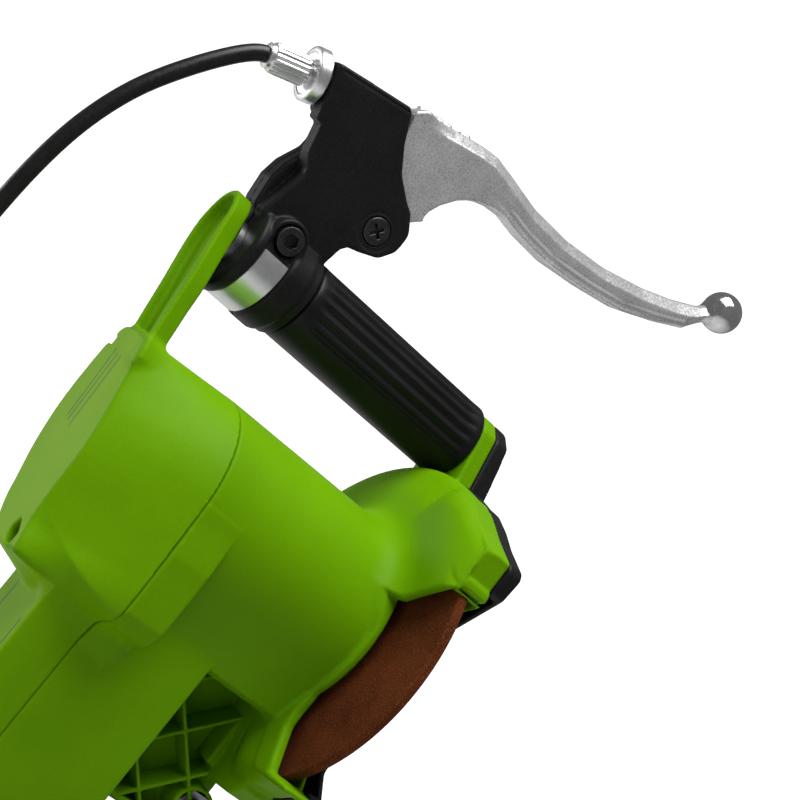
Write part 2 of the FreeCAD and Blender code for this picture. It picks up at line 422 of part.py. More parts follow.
# -- guard cover, black
ex2 = [(-41.5, -80), (-45.4, -60.6), (-25.2, -46.8, 5), (-8, -48.5, 10), (12, -48, 10), (32, -41.5, 10), (47, -38, 4), (56.5, -50.0), (57.5, -80)]
cornerb = [(-60, 20), (-72.4, 12), (-74.0, 0), (-73.8, -8.5), (-72.4, -24.5), (-68.8, -34.9), (-64.1, -45.3), (-58.8, -60.2, 2.0), (-56.4, -61.8, 1.5), (-45.6, -61.2), (-42.6, -64.0, 1), (-30, -45), (-40, 0)]
disc = fuse(rod("x", 0, 0, SPLIT + 0.1, COVER_X, GUARD_R - 0.1), prism(cornerb, "x", SPLIT + 0.1, COVER_X),
            prism([(30, 20), (52, 62, 5), (62, 60, 5), (70, 20)], "x", SPLIT + 0.1, COVER_X - 2),
            prism([(30, -20), (60.3, -44.8, 3), (57, -52), (56.5, -62, 1), (50, -60), (40, -40)], "x", SPLIT + 0.1, COVER_X),
            prism(rear_r, "x", SPLIT + 0.1, COVER_X))
gc = cut(disc, rod("x", 0, 0, SPLIT, COVER_X - 2.6, GUARD_IN))
gc = cut(gc, prism(ex2, "x", SPLIT - 1, COVER_X + 1))
gcs = cut(prism(rst, "x", STRUT_X1 + 0.1, CAP_X), rod("x", 0, 0, 0, 30, GUARD_R - 8.0))
gcr = cut(prism(rst, "x", SPLIT + 3, CAP_X), rod("x", 0, 0, 0, 30, GUARD_R - 9.0)).common(rod("x", 0, 0, 0, 40, GUARD_R - 0.1))
gcr = gcr.common(box(COVER_X - 3, 40, -120, 0, -60, 80))
gc = fuse(gc, gcs, gcr)
gc = fuse(gc, rod("x", 0, 0, COVER_X - 2.6, 31.0, 20.0))
gc = cut(gc, rod("x", 0, 0, SPLIT, 28.6, 17.4))
for a, z in GS:
    gc = cut(gc, rod("x", a, z, SPLIT - 1, COVER_X + 1, 2.05), rod("x", a, z, COVER_X - 3.2, COVER_X + 1, 3.9))
gc = cut(gc, rod("x", GRIP_A, GRIP_Z, SPLIT - 1, CAP_X + 1, 2.6), rod("x", GRIP_A, GRIP_Z, CAP_X - 3.2, CAP_X + 1, 4.6))
out("guard_cover", H(gc))
out("guard_screws", H(both(*[screw("x", a, z, COVER_X - 0.7, 6.0, 1.5, 3.7, 2.2) for a, z in GS if (a, z) != (-97.5, 37.0)])))

# =========================================================================
# HANDLE
# =========================================================================
out("handle_tube", H(rod("x", GRIP_A, GRIP_Z, -124.4, 18.8, TUBE_R, 8.0)))
out("tube_plugs", H(both(fuse(rod("x", GRIP_A, GRIP_Z, -124.3, -104, 7.95), rod("x", GRIP_A, GRIP_Z, -127.0, -124.2, 3.6)), rod("x", GRIP_A, GRIP_Z, -2, 18.7, 7.95, 2.0))))
out("handle_screw", H(screw("x", GRIP_A, GRIP_Z, CAP_X - 0.6, 2, 1.95, 4.4, 2.5)))
out("grip", H((rod("x", GRIP_A, GRIP_Z, -87.0, 12.8, GRIP_R, TUBE_R + 0.03))))

# brake lever bracket
lip = [(-103.2, -174.0), (-101.1, -172.5), (-95.1, -161.8), (-87.9, -152.5), (-78.8, -146.2), (-74.2, -143.8), (-68.5, -136.6, 5), (-68.5, -128.3, 5), (-72.9, -121.6, 4), (-81.0, -118.2), (-86.0, -116.7), (-88.1, -113.9), (-91.0, -95.9)]
bk = prism([(-137.3, -166.8, 1.5)] + lip + [(-100.8, -93.4), (-119.1, -99.5), (-123.9, -104.8), (-119.9, -127.1, 3), (-124.5, -133.2, 3), (-127.6, -144.9, 1), (-130.5, -144.6, 1)], "z", 17.7, 27.0)
bk = fuse(bk, prism([(-132.0, -166.8, 2)] + lip + [(-100.8, -93.4), (-119.1, -99.5), (-124.5, -108.0), (-124.3, -124.0, 3), (-120.5, -135.5, 3), (-120.5, -146.0, 1), (-128.0, -150.0, 1)], "z", 27.0, 39.7))
slotl = prism([(-101.3, -193.3), (-101.3, -162.7, 4), (-93.1, -145.3, 4), (-93.1, -120.9, 4), (-53.9, -113.7), (-48.8, -193.3)], "z", 22.4, 35.0)
bk = cut(bk, slotl, rod("z", LEV_X, LEV_A, 34.9, 36.9, 7.0), box(LEV_X, LEV_X + 20, LEV_A - 4.2, LEV_A - 1.2, 34.9, 36.9))
bk = cut(bk, rod("x", GRIP_A, GRIP_Z, -150, -60, TUBE_R + 0.06))
clamp = fuse(rod("x", GRIP_A, GRIP_Z, -121.4, -88.0, 19.0), rod("x", GRIP_A, GRIP_Z, -121.4, -116.5, 20.8), rod("x", GRIP_A, GRIP_Z, -103.8, -92.0, 20.8))
bk = cut(bk, rod("x", GRIP_A, GRIP_Z, -116.5, -103.8, 20.45))
clamp = cut(clamp, rod("x", GRIP_A, GRIP_Z, -130, -60, TUBE_R + 0.06))
bk = fuse(bk, clamp)
lug = cut(rod("z", -110.0, -102.0, 11.2, 20.0, 8.4), rod("z", -110.0, -102.0, 10, 13.2, 6.3))
bk = fuse(bk, lug)
bk = cut(bk, rod("z", -110.0, -102.0, 8, 13.2, 6.3), rod("x", GRIP_A, GRIP_Z, -87.6, -60, GRIP_R + 0.5))
bk = cut(bk, rod("z", LEV_X, LEV_A, 15, 25, 4.1), rod("z", LEV_X, LEV_A, 32, 42, 2.55), rod("z", LEV_X, LEV_A, 15, 19.8, 6.0))
# cable channel and adjuster thread
AD0, AD1 = (-134.4, -159.6), (-158.8, -150.8)
dl = math.hypot(AD1[0] - AD0[0], AD1[1] - AD0[1])
du = V((AD1[0] - AD0[0]) / dl, (AD1[1] - AD0[1]) / dl, 0)


def arod(s0, s1, r, r2=None):
    o = V(AD0[0], AD0[1], GRIP_Z) + du * s0
    s = Part.makeCylinder(r, s1 - s0, o, du)
    if r2:
        s = s.cut(Part.makeCylinder(r2, s1 - s0 + 2, o - du, du))
    return s


bk = fuse(bk, arod(-16, 0.6, 10.5).common(box(-160, -110, -200, -120, 16, 42)))
bk = cut(bk, arod(-14, 5, 4.05), arod(-34, 2, 1.4))
out("lever_bracket", H(bk))
cb = cut(rod("x", GRIP_A, GRIP_Z, -116.4, -103.9, 20.3, 19.05), box(-120, -100, -115, -93.5, 0, 30))
out("clamp_band", H(cb))
out("clamp_bolt", H(cut(rod("z", -110.0, -102.0, 9.4, 13.15, 5.9), hexa("z", -110.0, -102.0, 9, 12.2, 5.6))))
out("adjuster_barrel", H(cut(fuse(arod(8.2, 22.0, 6.2), arod(-13.5, 8.3, 4.0), arod(21.9, dl - 0.35, 4.9)), arod(-15, dl + 2, 1.4))))
out("lock_ring", H(arod(1.8, 7.4, 11.2, 4.05)))
out("pivot_screw", H(fuse(rod("z", LEV_X, LEV_A, 17.4, 19.7, 5.8), rod("z", LEV_X, LEV_A, 19.6, 34.7, 4.0), rod("z", LEV_X, LEV_A, 34.6, 39.2, 2.5))))
lv = prism([(-94.1, -179.4, 2), (-82.4, -181.4), (-74.8, -183.5), (-63.0, -186.3), (-55.4, -187.4), (-44.7, -186.1), (-26.9, -183.5), (-6.0, -183.7), (17.3, -187.0), (38.6, -192.9), (56.3, -199.6), (68.5, -205.5), (74.6, -209.6), (72.5, -200.4), (67.0, -191.8), (52.6, -185.3), (34.1, -177.6), (13.7, -173.1), (-7.7, -169.7), (-25.1, -169.7), (-36.5, -171.0), (-43.7, -170.1), (-54.9, -165.4), (-65.9, -155.3), (-66.0, -145.4), (-71.5, -140.2), (-72.2, -129.0, 6), (-81.1, -120.4, 6), (-89.5, -129.0, 6), (-90.1, -142.3), (-93.6, -157.6), (-98.3, -175.6, 2)], "z", 22.9, 34.5)
lv = cut(lv, rod("z", LEV_X, LEV_A, 20, 36, 4.05))
ball = Part.makeSphere(9.4, V(80.3, -211.4, GRIP_Z))
lv = fuse(lv, ball)
lv = cut(lv, rod("z", -90.1, -150.4, 20, 36, 2.4))
out("brake_lever", H(lv))
out("cable_nipple", H(rod("z", -90.1, -150.4, 24.0, 33.0, 2.35)))
out("lever_spring", H(fuse(rod("z", LEV_X, LEV_A, 35.0, 36.6, 6.4, 2.7), Part.makeBox(9, 1.4, 1.4, V(LEV_X + 5.6, LEV_A - 3.4, 35.1)))))

# =========================================================================
# MOTOR AND WHEEL
# =========================================================================
out("stator", H(cut(rod("x", 0, 0, -82, -34, 34.5, 25.0), box(-83, -33, -9, 9, -40, -31.5), box(-83, -33, -9, 9, 31.5, 40))))
out("field_coils", H(both(rod("x", 0, 0, -88.5, -82.2, 30.5, 26), rod("x", 0, 0, -33.8, -28, 30.5, 26))))
out("armature", H(cut(fuse(rod("x", 0, 0, -80, -36, 24.0), rod("x", 0, 0, -86, -30, 18.0)), rod("x", 0, 0, -90, -20, 5.0))))
out("motor_shaft", H(fuse(rod("x", 0, 0, -119.5, -109.9, 4.0), rod("x", 0, 0, -110.0, -12.6, 5.0), rod("x", 0, 0, -12.7, 20.2, 6.0))))
out("commutator", H(rod("x", 0, 0, -104, -90, 11.0, 5.0)))
fan = fuse(rod("x", 0, 0, -26, -22.5, 32.0), rod("x", 0, 0, -26, -15, 9.0))
for k in range(9):
    b = box(-22.6, -16, 9, 30, -0.9, 0.9)
    b.rotate(V(0, 0, 0), V(1, 0, 0), 40 * k)
    fan = fuse(fan, b)
out("cooling_fan", H(cut(fan, rod("x", 0, 0, -30, -10, 5.0))))
out("bearings", H(both(rod("x", 0, 0, -117.8, -110.8, 11.0, 4.0 + FIT), rod("x", 0, 0, -12.0, -4.0, 13.0, 6.0 + FIT))))
out("brush_holders", H(both(box(-101, -93, 14.5, 30, -5, 5).cut(box(-100.2, -93.8, 14, 31, -4.2, 4.2)), box(-101, -93, -30, -14.5, -5, 5).cut(box(-100.2, -93.8, -31, -14, -4.2, 4.2)))))
out("carbon_brushes", H(both(box(-100.1, -93.9, 11.4, 22, -4.1, 4.1), box(-100.1, -93.9, -22, -11.4, -4.1, 4.1))))
out("inner_flange", H(turned("x", 0, 0, [(6.0, -2.6), (17, -2.6), (22, -0.6), (22, 2.95), (6.0, 2.95)])))
W0 = 3.0
gw = turned("x", 0, 0, [(WHEEL_BORE, W0), (WHEEL_R - 1.0, W0), (WHEEL_R, W0 + 0.9), (WHEEL_R, W0 + WHEEL_T - 0.9), (WHEEL_R - 1.0, W0 + WHEEL_T), (WHEEL_BORE, W0 + WHEEL_T)])
out("grinding_wheel", H(gw))
out("outer_flange", H(turned("x", 0, 0, [(6.0, W0 - 0.02), (11.0, W0 - 0.02), (11.0, W0 + WHEEL_T + 0.05), (22, W0 + WHEEL_T + 0.05), (22, W0 + WHEEL_T + 1.6), (15, W0 + WHEEL_T + 3.6), (6.0, W0 + WHEEL_T + 3.6)])))
out("spindle_nut", H(cut(hexa("x", 0, 0, W0 + WHEEL_T + 3.7, W0 + WHEEL_T + 10.5, 19), rod("x", 0, 0, 0, 30, 6.0))))

# =========================================================================
# SWITCH, CORD ENTRY, DEPTH SCREW
# =========================================================================
out("switch_body", H(cut(fuse(box(-81.6, -62.4, 58.4, 87.6, -14, 7.4), box(-83.5, -60.5, 56.5, 89.5, 7.6, 9.4)), box(-79.5, -64.5, 61, 85, 2, 10))))
rk = prism([(61.6, 7.5), (73, 6.2), (84.4, 7.5), (84.4, 11.2, 1), (73, 9.3), (61.6, 11.2, 1)], "x", -79.0, -65.0)
out("switch_rocker", H(rk))
out("cord_gland", H(cut(fuse(rod("z", -51, 72, 0, 8.0, 5.0), turned("z", -51, 72, [(0, 7.6), (8, 7.6), (7, 12), (5, 24), (0, 24)])), rod("z", -51, 72, -2, 26, 3.3))))
ds = fuse(rod("z", DX, DA, -12.3, 26, 4.0), rod("z", DX, DA, 20, 31, 9.0))
out("depth_screw", H(ds))
out("depth_nut", H(cut(hexa("z", DX, DA, -6.6, -0.8, 12.5), rod("z", DX, DA, -10, 0, 4.03))))
out("hinge_bushes", H(both(rod("x", HEAD_A, HEAD_Z, ARM_X0 + 0.2, -93.5, 9.0, 6.05), rod("x", HEAD_A, HEAD_Z, -58, ARM_X1 - 0.2, 9.0, 6.05))))
coil = [(7.0, -88.5)]
x = -88.5
while x < -66:
    coil += [(9.6, x + 0.5), (10.4, x + 1.1), (9.6, x + 1.7)]
    x += 2.2
coil += [(7.0, x)]
out("park_spring", H(turned("x", HEAD_A, HEAD_Z, coil)))
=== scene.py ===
"""Electric chainsaw sharpener: the looks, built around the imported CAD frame."""
import json
import math

import bpy
import bmesh
import numpy as np
from mathutils import Matrix, Vector


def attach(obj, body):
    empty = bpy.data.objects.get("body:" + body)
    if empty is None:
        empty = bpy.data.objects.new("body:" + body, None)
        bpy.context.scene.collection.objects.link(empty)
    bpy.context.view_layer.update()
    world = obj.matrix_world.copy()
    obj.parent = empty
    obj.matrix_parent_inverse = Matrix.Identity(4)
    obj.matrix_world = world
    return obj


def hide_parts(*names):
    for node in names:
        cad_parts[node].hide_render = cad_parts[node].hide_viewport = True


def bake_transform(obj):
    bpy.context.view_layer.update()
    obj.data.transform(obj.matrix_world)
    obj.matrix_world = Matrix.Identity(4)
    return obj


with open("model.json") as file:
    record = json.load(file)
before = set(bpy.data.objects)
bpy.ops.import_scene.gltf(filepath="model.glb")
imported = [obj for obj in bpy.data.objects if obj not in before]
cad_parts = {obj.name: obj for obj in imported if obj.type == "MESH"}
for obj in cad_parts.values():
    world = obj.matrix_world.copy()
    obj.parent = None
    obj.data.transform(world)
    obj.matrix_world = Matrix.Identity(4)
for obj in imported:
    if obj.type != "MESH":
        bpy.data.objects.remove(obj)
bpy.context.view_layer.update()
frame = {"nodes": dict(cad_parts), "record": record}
NODES = frame["nodes"]
f32 = np.float32

# ---------------------------------------------------------------- head frame
# x along the motor, a along the arm, z up when the head is down. Millimetres.
TH = math.radians(100.0)
CT, ST = math.cos(TH), math.sin(TH)


def W(P):
    """Head-frame millimetres to row-frame metres."""
    P = np.asarray(P, float).reshape(-1, 3)
    o = np.empty_like(P)
    o[:, 0] = P[:, 0] + 25.0
    o[:, 1] = 70.0 + (P[:, 1] - 125.0) * CT + (P[:, 2] + 10.5) * ST
    o[:, 2] = 125.0 - (P[:, 1] - 125.0) * ST + (P[:, 2] + 10.5) * CT
    return o * 0.001


def Wd(v):
    """Direction in the head frame to the row frame."""
    return Vector((v[0], v[1] * CT + v[2] * ST, -v[1] * ST + v[2] * CT))


# ---------------------------------------------------------------- camera
CAM_F = 1786.910317235737
CAM_R = np.array([[0.6541042512132268, -0.6252614698897985, -0.4256709090553788],
                  [0.5817586297162576, 0.7755224191869698, -0.24519762251916744],
                  [0.48342995903796254, -0.0872529174849674, 0.8710237672388254]])
CAM_T = np.array([-29.115968251701045, 85.3721246464048, 715.5037801670475])
cam_data = bpy.data.cameras.new("camera")
cam_data.sensor_fit = "HORIZONTAL"
cam_data.sensor_width = 36.0
cam_data.lens = CAM_F / 800.0 * 36.0
cam_data.clip_start, cam_data.clip_end = 0.01, 100.0
cam = bpy.data.objects.new("camera", cam_data)
bpy.context.scene.collection.objects.link(cam)
centre = -CAM_R.T @ CAM_T
cx, cy, cz = Wd(CAM_R[0]), -Wd(CAM_R[1]), -Wd(CAM_R[2])
m = Matrix.Identity(4)
for i in range(3):
    m[i][0], m[i][1], m[i][2] = cx[i], cy[i], cz[i]
m.translation = Vector(W([centre])[0])
cam.matrix_world = m
bpy.context.scene.camera = cam


# ---------------------------------------------------------------- materials
def nodes_of(name):
    mt = bpy.data.materials.new(name)
    mt.use_nodes = True
    nt = mt.node_tree
    return mt, nt, nt.nodes["Principled BSDF"]


def ramp(nt, src, stops):
    r = nt.nodes.new("ShaderNodeValToRGB")
    e = r.color_ramp.elements
    while len(e) < len(stops):
        e.new(0.5)
    for k, (p, c) in enumerate(stops):
        e[k].position = p
        e[k].color = (*c, 1.0)
    nt.links.new(src, r.inputs[0])
    return r.outputs[0]


def noise(nt, coord, scale, detail=2.0, rough=0.5, dist=0.0):
    n = nt.nodes.new("ShaderNodeTexNoise")
    n.inputs["Scale"].default_value = scale
    n.inputs["Detail"].default_value = detail
    n.inputs["Roughness"].default_value = rough
    n.inputs["Distortion"].default_value = dist
    nt.links.new(coord, n.inputs["Vector"])
    return n.outputs["Fac"]


def voronoi(nt, coord, scale):
    n = nt.nodes.new("ShaderNodeTexVoronoi")
    n.inputs["Scale"].default_value = scale
    nt.links.new(coord, n.inputs["Vector"])
    return n.outputs["Distance"]


def math_node(nt, op, a, b):
    n = nt.nodes.new("ShaderNodeMath")
    n.operation = op
    for k, v in enumerate((a, b)):
        if isinstance(v, (int, float)):
            n.inputs[k].default_value = v
        else:
            nt.links.new(v, n.inputs[k])
    return n.outputs[0]


def bump(nt, height, strength, dist, prev=None):
    b = nt.nodes.new("ShaderNodeBump")
    b.inputs["Strength"].default_value = strength
    b.inputs["Distance"].default_value = dist
    nt.links.new(height, b.inputs["Height"])
    if prev is not None:
        nt.links.new(prev, b.inputs["Normal"])
    return b.outputs["Normal"]


def coords(nt, scale=(1, 1, 1)):
    t = nt.nodes.new("ShaderNodeTexCoord")
    mp = nt.nodes.new("ShaderNodeMapping")
    mp.inputs["Scale"].default_value = scale
    nt.links.new(t.outputs["Object"], mp.inputs["Vector"])
    return mp.outputs["Vector"]


def surface(name, c0, c1, rough, metal=0.0, grain=2200.0, grain_h=0.00006, grain_s=0.35, blotch=60.0,
            rough_spread=0.06, spec=0.5, coat=0.0, stretch=(1, 1, 1), fleck=None, sheen=0.0):
    """A grained surface: two colours over slow blotches and fine grain, with grain bump."""
    mt, nt, b = nodes_of(name)
    v = coords(nt, stretch)
    slow = noise(nt, v, blotch, 3.0, 0.55)
    fine = noise(nt, v, grain, 2.0, 0.6)
    mix = math_node(nt, "ADD", math_node(nt, "MULTIPLY", slow, 0.55), math_node(nt, "MULTIPLY", fine, 0.45))
    stops = [(0.36, c0), (0.62, c1)]
    col = ramp(nt, mix, stops)
    if fleck:
        sp = noise(nt, v, fleck[0], 1.0, 0.5)
        fac = ramp(nt, sp, [(fleck[1], (0, 0, 0)), (fleck[1] + 0.05, (1, 1, 1))])
        mx = nt.nodes.new("ShaderNodeMix")
        mx.data_type = "RGBA"
        nt.links.new(fac, mx.inputs["Factor"])
        nt.links.new(col, mx.inputs[6])
        mx.inputs[7].default_value = (*fleck[2], 1.0)
        col = mx.outputs[2]
    nt.links.new(col, b.inputs["Base Color"])
    rr = ramp(nt, fine, [(0.3, (rough - rough_spread,) * 3), (0.7, (rough + rough_spread,) * 3)])
    nt.links.new(rr, b.inputs["Roughness"])
    b.inputs["Metallic"].default_value = metal
    b.inputs["Specular IOR Level"].default_value = spec
    b.inputs["Coat Weight"].default_value = coat
    if grain_s:
        nt.links.new(bump(nt, fine, grain_s, grain_h), b.inputs["Normal"])
    return mt


M = {}
M["green_plastic"] = surface("green_plastic", (0.118, 0.300, 0.0004), (0.140, 0.344, 0.0006), 0.44, grain=1500.0, grain_h=0.00012, grain_s=0.30, blotch=25.0, spec=0.05)
M["black_plastic"] = surface("black_plastic", (0.0060, 0.0060, 0.0062), (0.0105, 0.0105, 0.0108), 0.44, grain=1700.0, grain_h=0.00016, grain_s=0.55, blotch=40.0, spec=0.16, fleck=(2600.0, 0.66, (0.030, 0.030, 0.031)))
M["black_rubber"] = surface("black_rubber", (0.0050, 0.0050, 0.0052), (0.0085, 0.0085, 0.0088), 0.42, grain=1500.0, grain_h=0.00008, grain_s=0.3, blotch=50.0, spec=0.20)
M["cable_sheath"] = surface("cable_sheath", (0.0055, 0.0055, 0.006), (0.0095, 0.0095, 0.010), 0.34, grain=700.0, grain_h=0.00010, grain_s=0.35, blotch=80.0, spec=0.35)
M["cast_alloy"] = surface("cast_alloy", (0.60, 0.60, 0.602), (0.80, 0.80, 0.802), 0.30, metal=0.72, grain=1100.0, grain_h=0.00004, grain_s=0.12, blotch=90.0, rough_spread=0.08, spec=0.6)
M["machined_alloy"] = surface("machined_alloy", (0.60, 0.60, 0.61), (0.74, 0.74, 0.75), 0.28, metal=0.95, grain=900.0, grain_s=0.15, blotch=90.0, stretch=(1, 6, 6))
M["bright_steel"] = surface("bright_steel", (0.66, 0.66, 0.67), (0.76, 0.76, 0.77), 0.31, metal=0.92, grain=500.0, grain_h=0.00003, grain_s=0.10, blotch=70.0, rough_spread=0.03)
M["steel"] = surface("steel", (0.40, 0.41, 0.42), (0.54, 0.55, 0.56), 0.32, metal=1.0, grain=900.0, grain_h=0.00004, grain_s=0.25, blotch=90.0, stretch=(1, 5, 5))
M["dark_steel"] = surface("dark_steel", (0.030, 0.030, 0.032), (0.060, 0.060, 0.062), 0.33, metal=0.75, grain=1200.0, grain_s=0.35, blotch=120.0)
M["painted_base"] = surface("painted_base", (0.0125, 0.0128, 0.0135), (0.019, 0.0194, 0.0205), 0.42, grain=750.0, grain_h=0.00016, grain_s=0.5, blotch=30.0, spec=0.35)
M["abrasive"] = surface("abrasive", (0.066, 0.0145, 0.0032), (0.135, 0.033, 0.008), 0.86, grain=1500.0, grain_h=0.00045, grain_s=0.85, blotch=45.0, rough_spread=0.08, spec=0.10, fleck=(1900.0, 0.63, (0.24, 0.075, 0.025)))
M["copper"] = surface("copper", (0.42, 0.15, 0.05), (0.60, 0.25, 0.10), 0.30, metal=1.0, grain=800.0, stretch=(6, 1, 1))
M["brass"] = surface("brass", (0.52, 0.36, 0.12), (0.64, 0.46, 0.18), 0.28, metal=1.0, grain=800.0)
M["carbon"] = surface("carbon", (0.010, 0.010, 0.010), (0.022, 0.022, 0.022), 0.6, grain=1600.0)
M["red_rocker"] = surface("red_rocker", (0.36, 0.006, 0.006), (0.44, 0.010, 0.008), 0.22, grain=1500.0, grain_s=0.1, blotch=40.0)
# a lighter copy of the green for the end faces: painted light and painted sheen, not a different plastic
M["green_painted_lit_face"] = surface("green_painted_lit_face", (0.172, 0.364, 0.006), (0.198, 0.408, 0.008), 0.50, grain=1500.0, grain_h=0.00010, grain_s=0.22, blotch=30.0, spec=0.08)
M["polished_alloy"] = surface("polished_alloy", (0.56, 0.56, 0.57), (0.74, 0.74, 0.75), 0.13, metal=1.0, grain=600.0, grain_h=0.00008, grain_s=0.2, blotch=110.0)
M["tick_white"] = surface("tick_white", (0.60, 0.60, 0.58), (0.72, 0.72, 0.70), 0.5, grain=1500.0, grain_s=0.1)

SLOT_OF = {s["node"]: s["material_slot"] for s in frame["record"]["subparts"]}
for n, ob in NODES.items():
    ob.data.materials.clear()
    ob.data.materials.append(M[SLOT_OF[n]])


# ---------------------------------------------------------------- mesh kit
def add_mesh(name, V, F, mats, midx=None, smooth=True, world=False, sharp=None):
    """A piece from head-frame points and faces."""
    me = bpy.data.meshes.new(name)
    V = np.asarray(V, float) if world else W(V)
    F = np.asarray(F) if not isinstance(F, list) else F
    if isinstance(F, list):
        me.from_pydata(V.tolist(), [], F)
    else:
        n, k = F.shape
        me.vertices.add(len(V))
        me.vertices.foreach_set("co", V.astype(f32).ravel())
        me.loops.add(n * k)
        me.loops.foreach_set("vertex_index", F.astype(np.int32).ravel())
        me.polygons.add(n)
        me.polygons.foreach_set("loop_start", np.arange(0, n * k, k, dtype=np.int32))
        me.update(calc_edges=True)
    for mt in mats:
        me.materials.append(M[mt])
    if midx is not None:
        me.polygons.foreach_set("material_index", np.asarray(midx, np.int32))
    me.polygons.foreach_set("use_smooth", np.full(len(me.polygons), smooth, bool))
    me.update()
    me.validate()
    if sharp:
        me.set_sharp_from_angle(angle=math.radians(sharp))
    ob = bpy.data.objects.new(name, me)
    bpy.context.scene.collection.objects.link(ob)
    return ob


def put(ob, body, slot, *nodes):
    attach(ob, body)
    if nodes:
        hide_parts(*nodes)
    return ob


# ---------------------------------------------------------------- solid fields
def spline(P, n=5, closed=True):
    """A smooth closed outline through the points."""
    P = np.asarray(P, float)
    m_ = len(P)
    out = []
    for i in range(m_ if closed else m_ - 1):
        p0, p1, p2, p3 = (P[(i + k) % m_] if closed else P[min(max(i + k, 0), m_ - 1)] for k in (-1, 0, 1, 2))
        for j in range(n):
            t = j / n
            out.append(0.5 * (2 * p1 + (p2 - p0) * t + (2 * p0 - 5 * p1 + 4 * p2 - p3) * t * t + (3 * p1 - p0 - 3 * p2 + p3) * t ** 3))
    return np.array(out)


def fillets(P):
    """An outline whose corners (u, v, r) are rounded by r."""
    n = len(P)
    out = []
    for i in range(n):
        p = np.array(P[i][:2], float)
        r = P[i][2] if len(P[i]) > 2 else 0.0
        if r <= 0:
            out.append(p)
            continue
        a, b = np.array(P[i - 1][:2], float) - p, np.array(P[(i + 1) % n][:2], float) - p
        la, lb = np.linalg.norm(a), np.linalg.norm(b)
        a, b = a / la, b / lb
        th = math.acos(max(-1, min(1, a @ b)))
        if th > math.pi - 0.03:
            out.append(p)
            continue
        t = min(r / math.tan(th / 2), 0.49 * la, 0.49 * lb)
        r = t * math.tan(th / 2)
        bi = (a + b) / np.linalg.norm(a + b)
        c = p + bi * r / math.sin(th / 2)
        s, e = p + a * t - c, p + b * t - c
        a0, a1 = math.atan2(s[1], s[0]), math.atan2(e[1], e[0])
        d = (a1 - a0 + math.pi) % (2 * math.pi) - math.pi
        k = max(3, int(abs(d) / 0.18))
        for j in range(k + 1):
            g = a0 + d * j / k
            out.append(c + r * np.array([math.cos(g), math.sin(g)]))
    return np.array(out)


def poly(P, U, V):
    """Signed distance to a closed outline, over broadcast 2-D arrays."""
    P = np.asarray(P, float)
    U = np.asarray(U, f32)
    V = np.asarray(V, f32)
    d, s = None, None
    for i in range(len(P)):
        p, q = P[i], P[(i + 1) % len(P)]
        ex, ey = float(q[0] - p[0]), float(q[1] - p[1])
        L = ex * ex + ey * ey
        if L < 1e-12:
            continue
        wx, wy = U - f32(p[0]), V - f32(p[1])
        t = np.clip((wx * f32(ex) + wy * f32(ey)) * f32(1 / L), 0, 1)
        bx, by = wx - f32(ex) * t, wy - f32(ey) * t
        dd = bx * bx + by * by
        d = dd if d is None else np.minimum(d, dd)
        if abs(ey) > 1e-9:
            c = ((p[1] <= V) != (q[1] <= V)) & (U < f32(ex / ey) * (V - f32(p[1])) + f32(p[0]))
            s = c if s is None else s ^ c
    return np.where(s, f32(-1), f32(1)) * np.sqrt(d)


class Grid:
    def __init__(self, lo, hi, h):
        self.lo, self.h = np.array(lo, float), h
        ax = [(lo[i] + h * np.arange(int(math.ceil((hi[i] - lo[i]) / h)) + 1)).astype(f32) for i in range(3)]
        self.X, self.A, self.Z = ax[0][:, None, None], ax[1][None, :, None], ax[2][None, None, :]

    def P(self, axis, pts):
        if axis == "x":
            return poly(pts, self.A, self.Z)
        if axis == "a":
            return poly(pts, self.X, self.Z)
        return poly(pts, self.X, self.A)

    def T(self, axis):
        return {"x": self.X, "a": self.A, "z": self.Z}[axis]

    def ext(self, axis, pts, lo, hi, r=0.0):
        return slab(self.P(axis, pts), self.T(axis), lo, hi, r)

    def cyl(self, axis, u, v, R, lo, hi, r=0.0):
        a, b = {"x": (self.A, self.Z), "a": (self.X, self.Z), "z": (self.X, self.A)}[axis]
        return slab(np.sqrt((a - f32(u)) ** 2 + (b - f32(v)) ** 2) - f32(R), self.T(axis), lo, hi, r)

    def box(self, x0, x1, a0, a1, z0, z1, r=0.0):
        q = [np.abs(self.X - f32((x0 + x1) / 2)) - f32((x1 - x0) / 2 - r), np.abs(self.A - f32((a0 + a1) / 2)) - f32((a1 - a0) / 2 - r),
             np.abs(self.Z - f32((z0 + z1) / 2)) - f32((z1 - z0) / 2 - r)]
        out = np.sqrt(np.maximum(q[0], 0) ** 2 + np.maximum(q[1], 0) ** 2 + np.maximum(q[2], 0) ** 2)
        return out + np.minimum(np.maximum(q[0], np.maximum(q[1], q[2])), 0) - f32(r)

    def plane(self, n, p):
        """Distance above the plane through p with normal n: the solid is below."""
        l = math.sqrt(sum(c * c for c in n))
        return (self.X - f32(p[0])) * f32(n[0] / l) + (self.A - f32(p[1])) * f32(n[1] / l) + (self.Z - f32(p[2])) * f32(n[2] / l)


def slab(d2, T, lo, hi, r=0.0):
    w = np.abs(T - f32((lo + hi) / 2)) - f32((hi - lo) / 2)
    if r <= 0:
        return np.maximum(d2, w)
    return np.minimum(np.maximum(d2, w) + f32(r), 0) + np.sqrt(np.maximum(d2 + f32(r), 0) ** 2 + np.maximum(w + f32(r), 0) ** 2) - f32(r)


def sU(a, b, k):
    h = np.maximum(k - np.abs(a - b), 0) / k
    return np.minimum(a, b) - h * h * k * f32(0.25)


def sI(a, b, k):
    return -sU(-a, -b, k)


def sC(a, b, k):
    """a with b taken away, its rim rounded by k."""
    return -sU(-a, b, k)


def lerp(a, b, t):
    return a + (b - a) * t


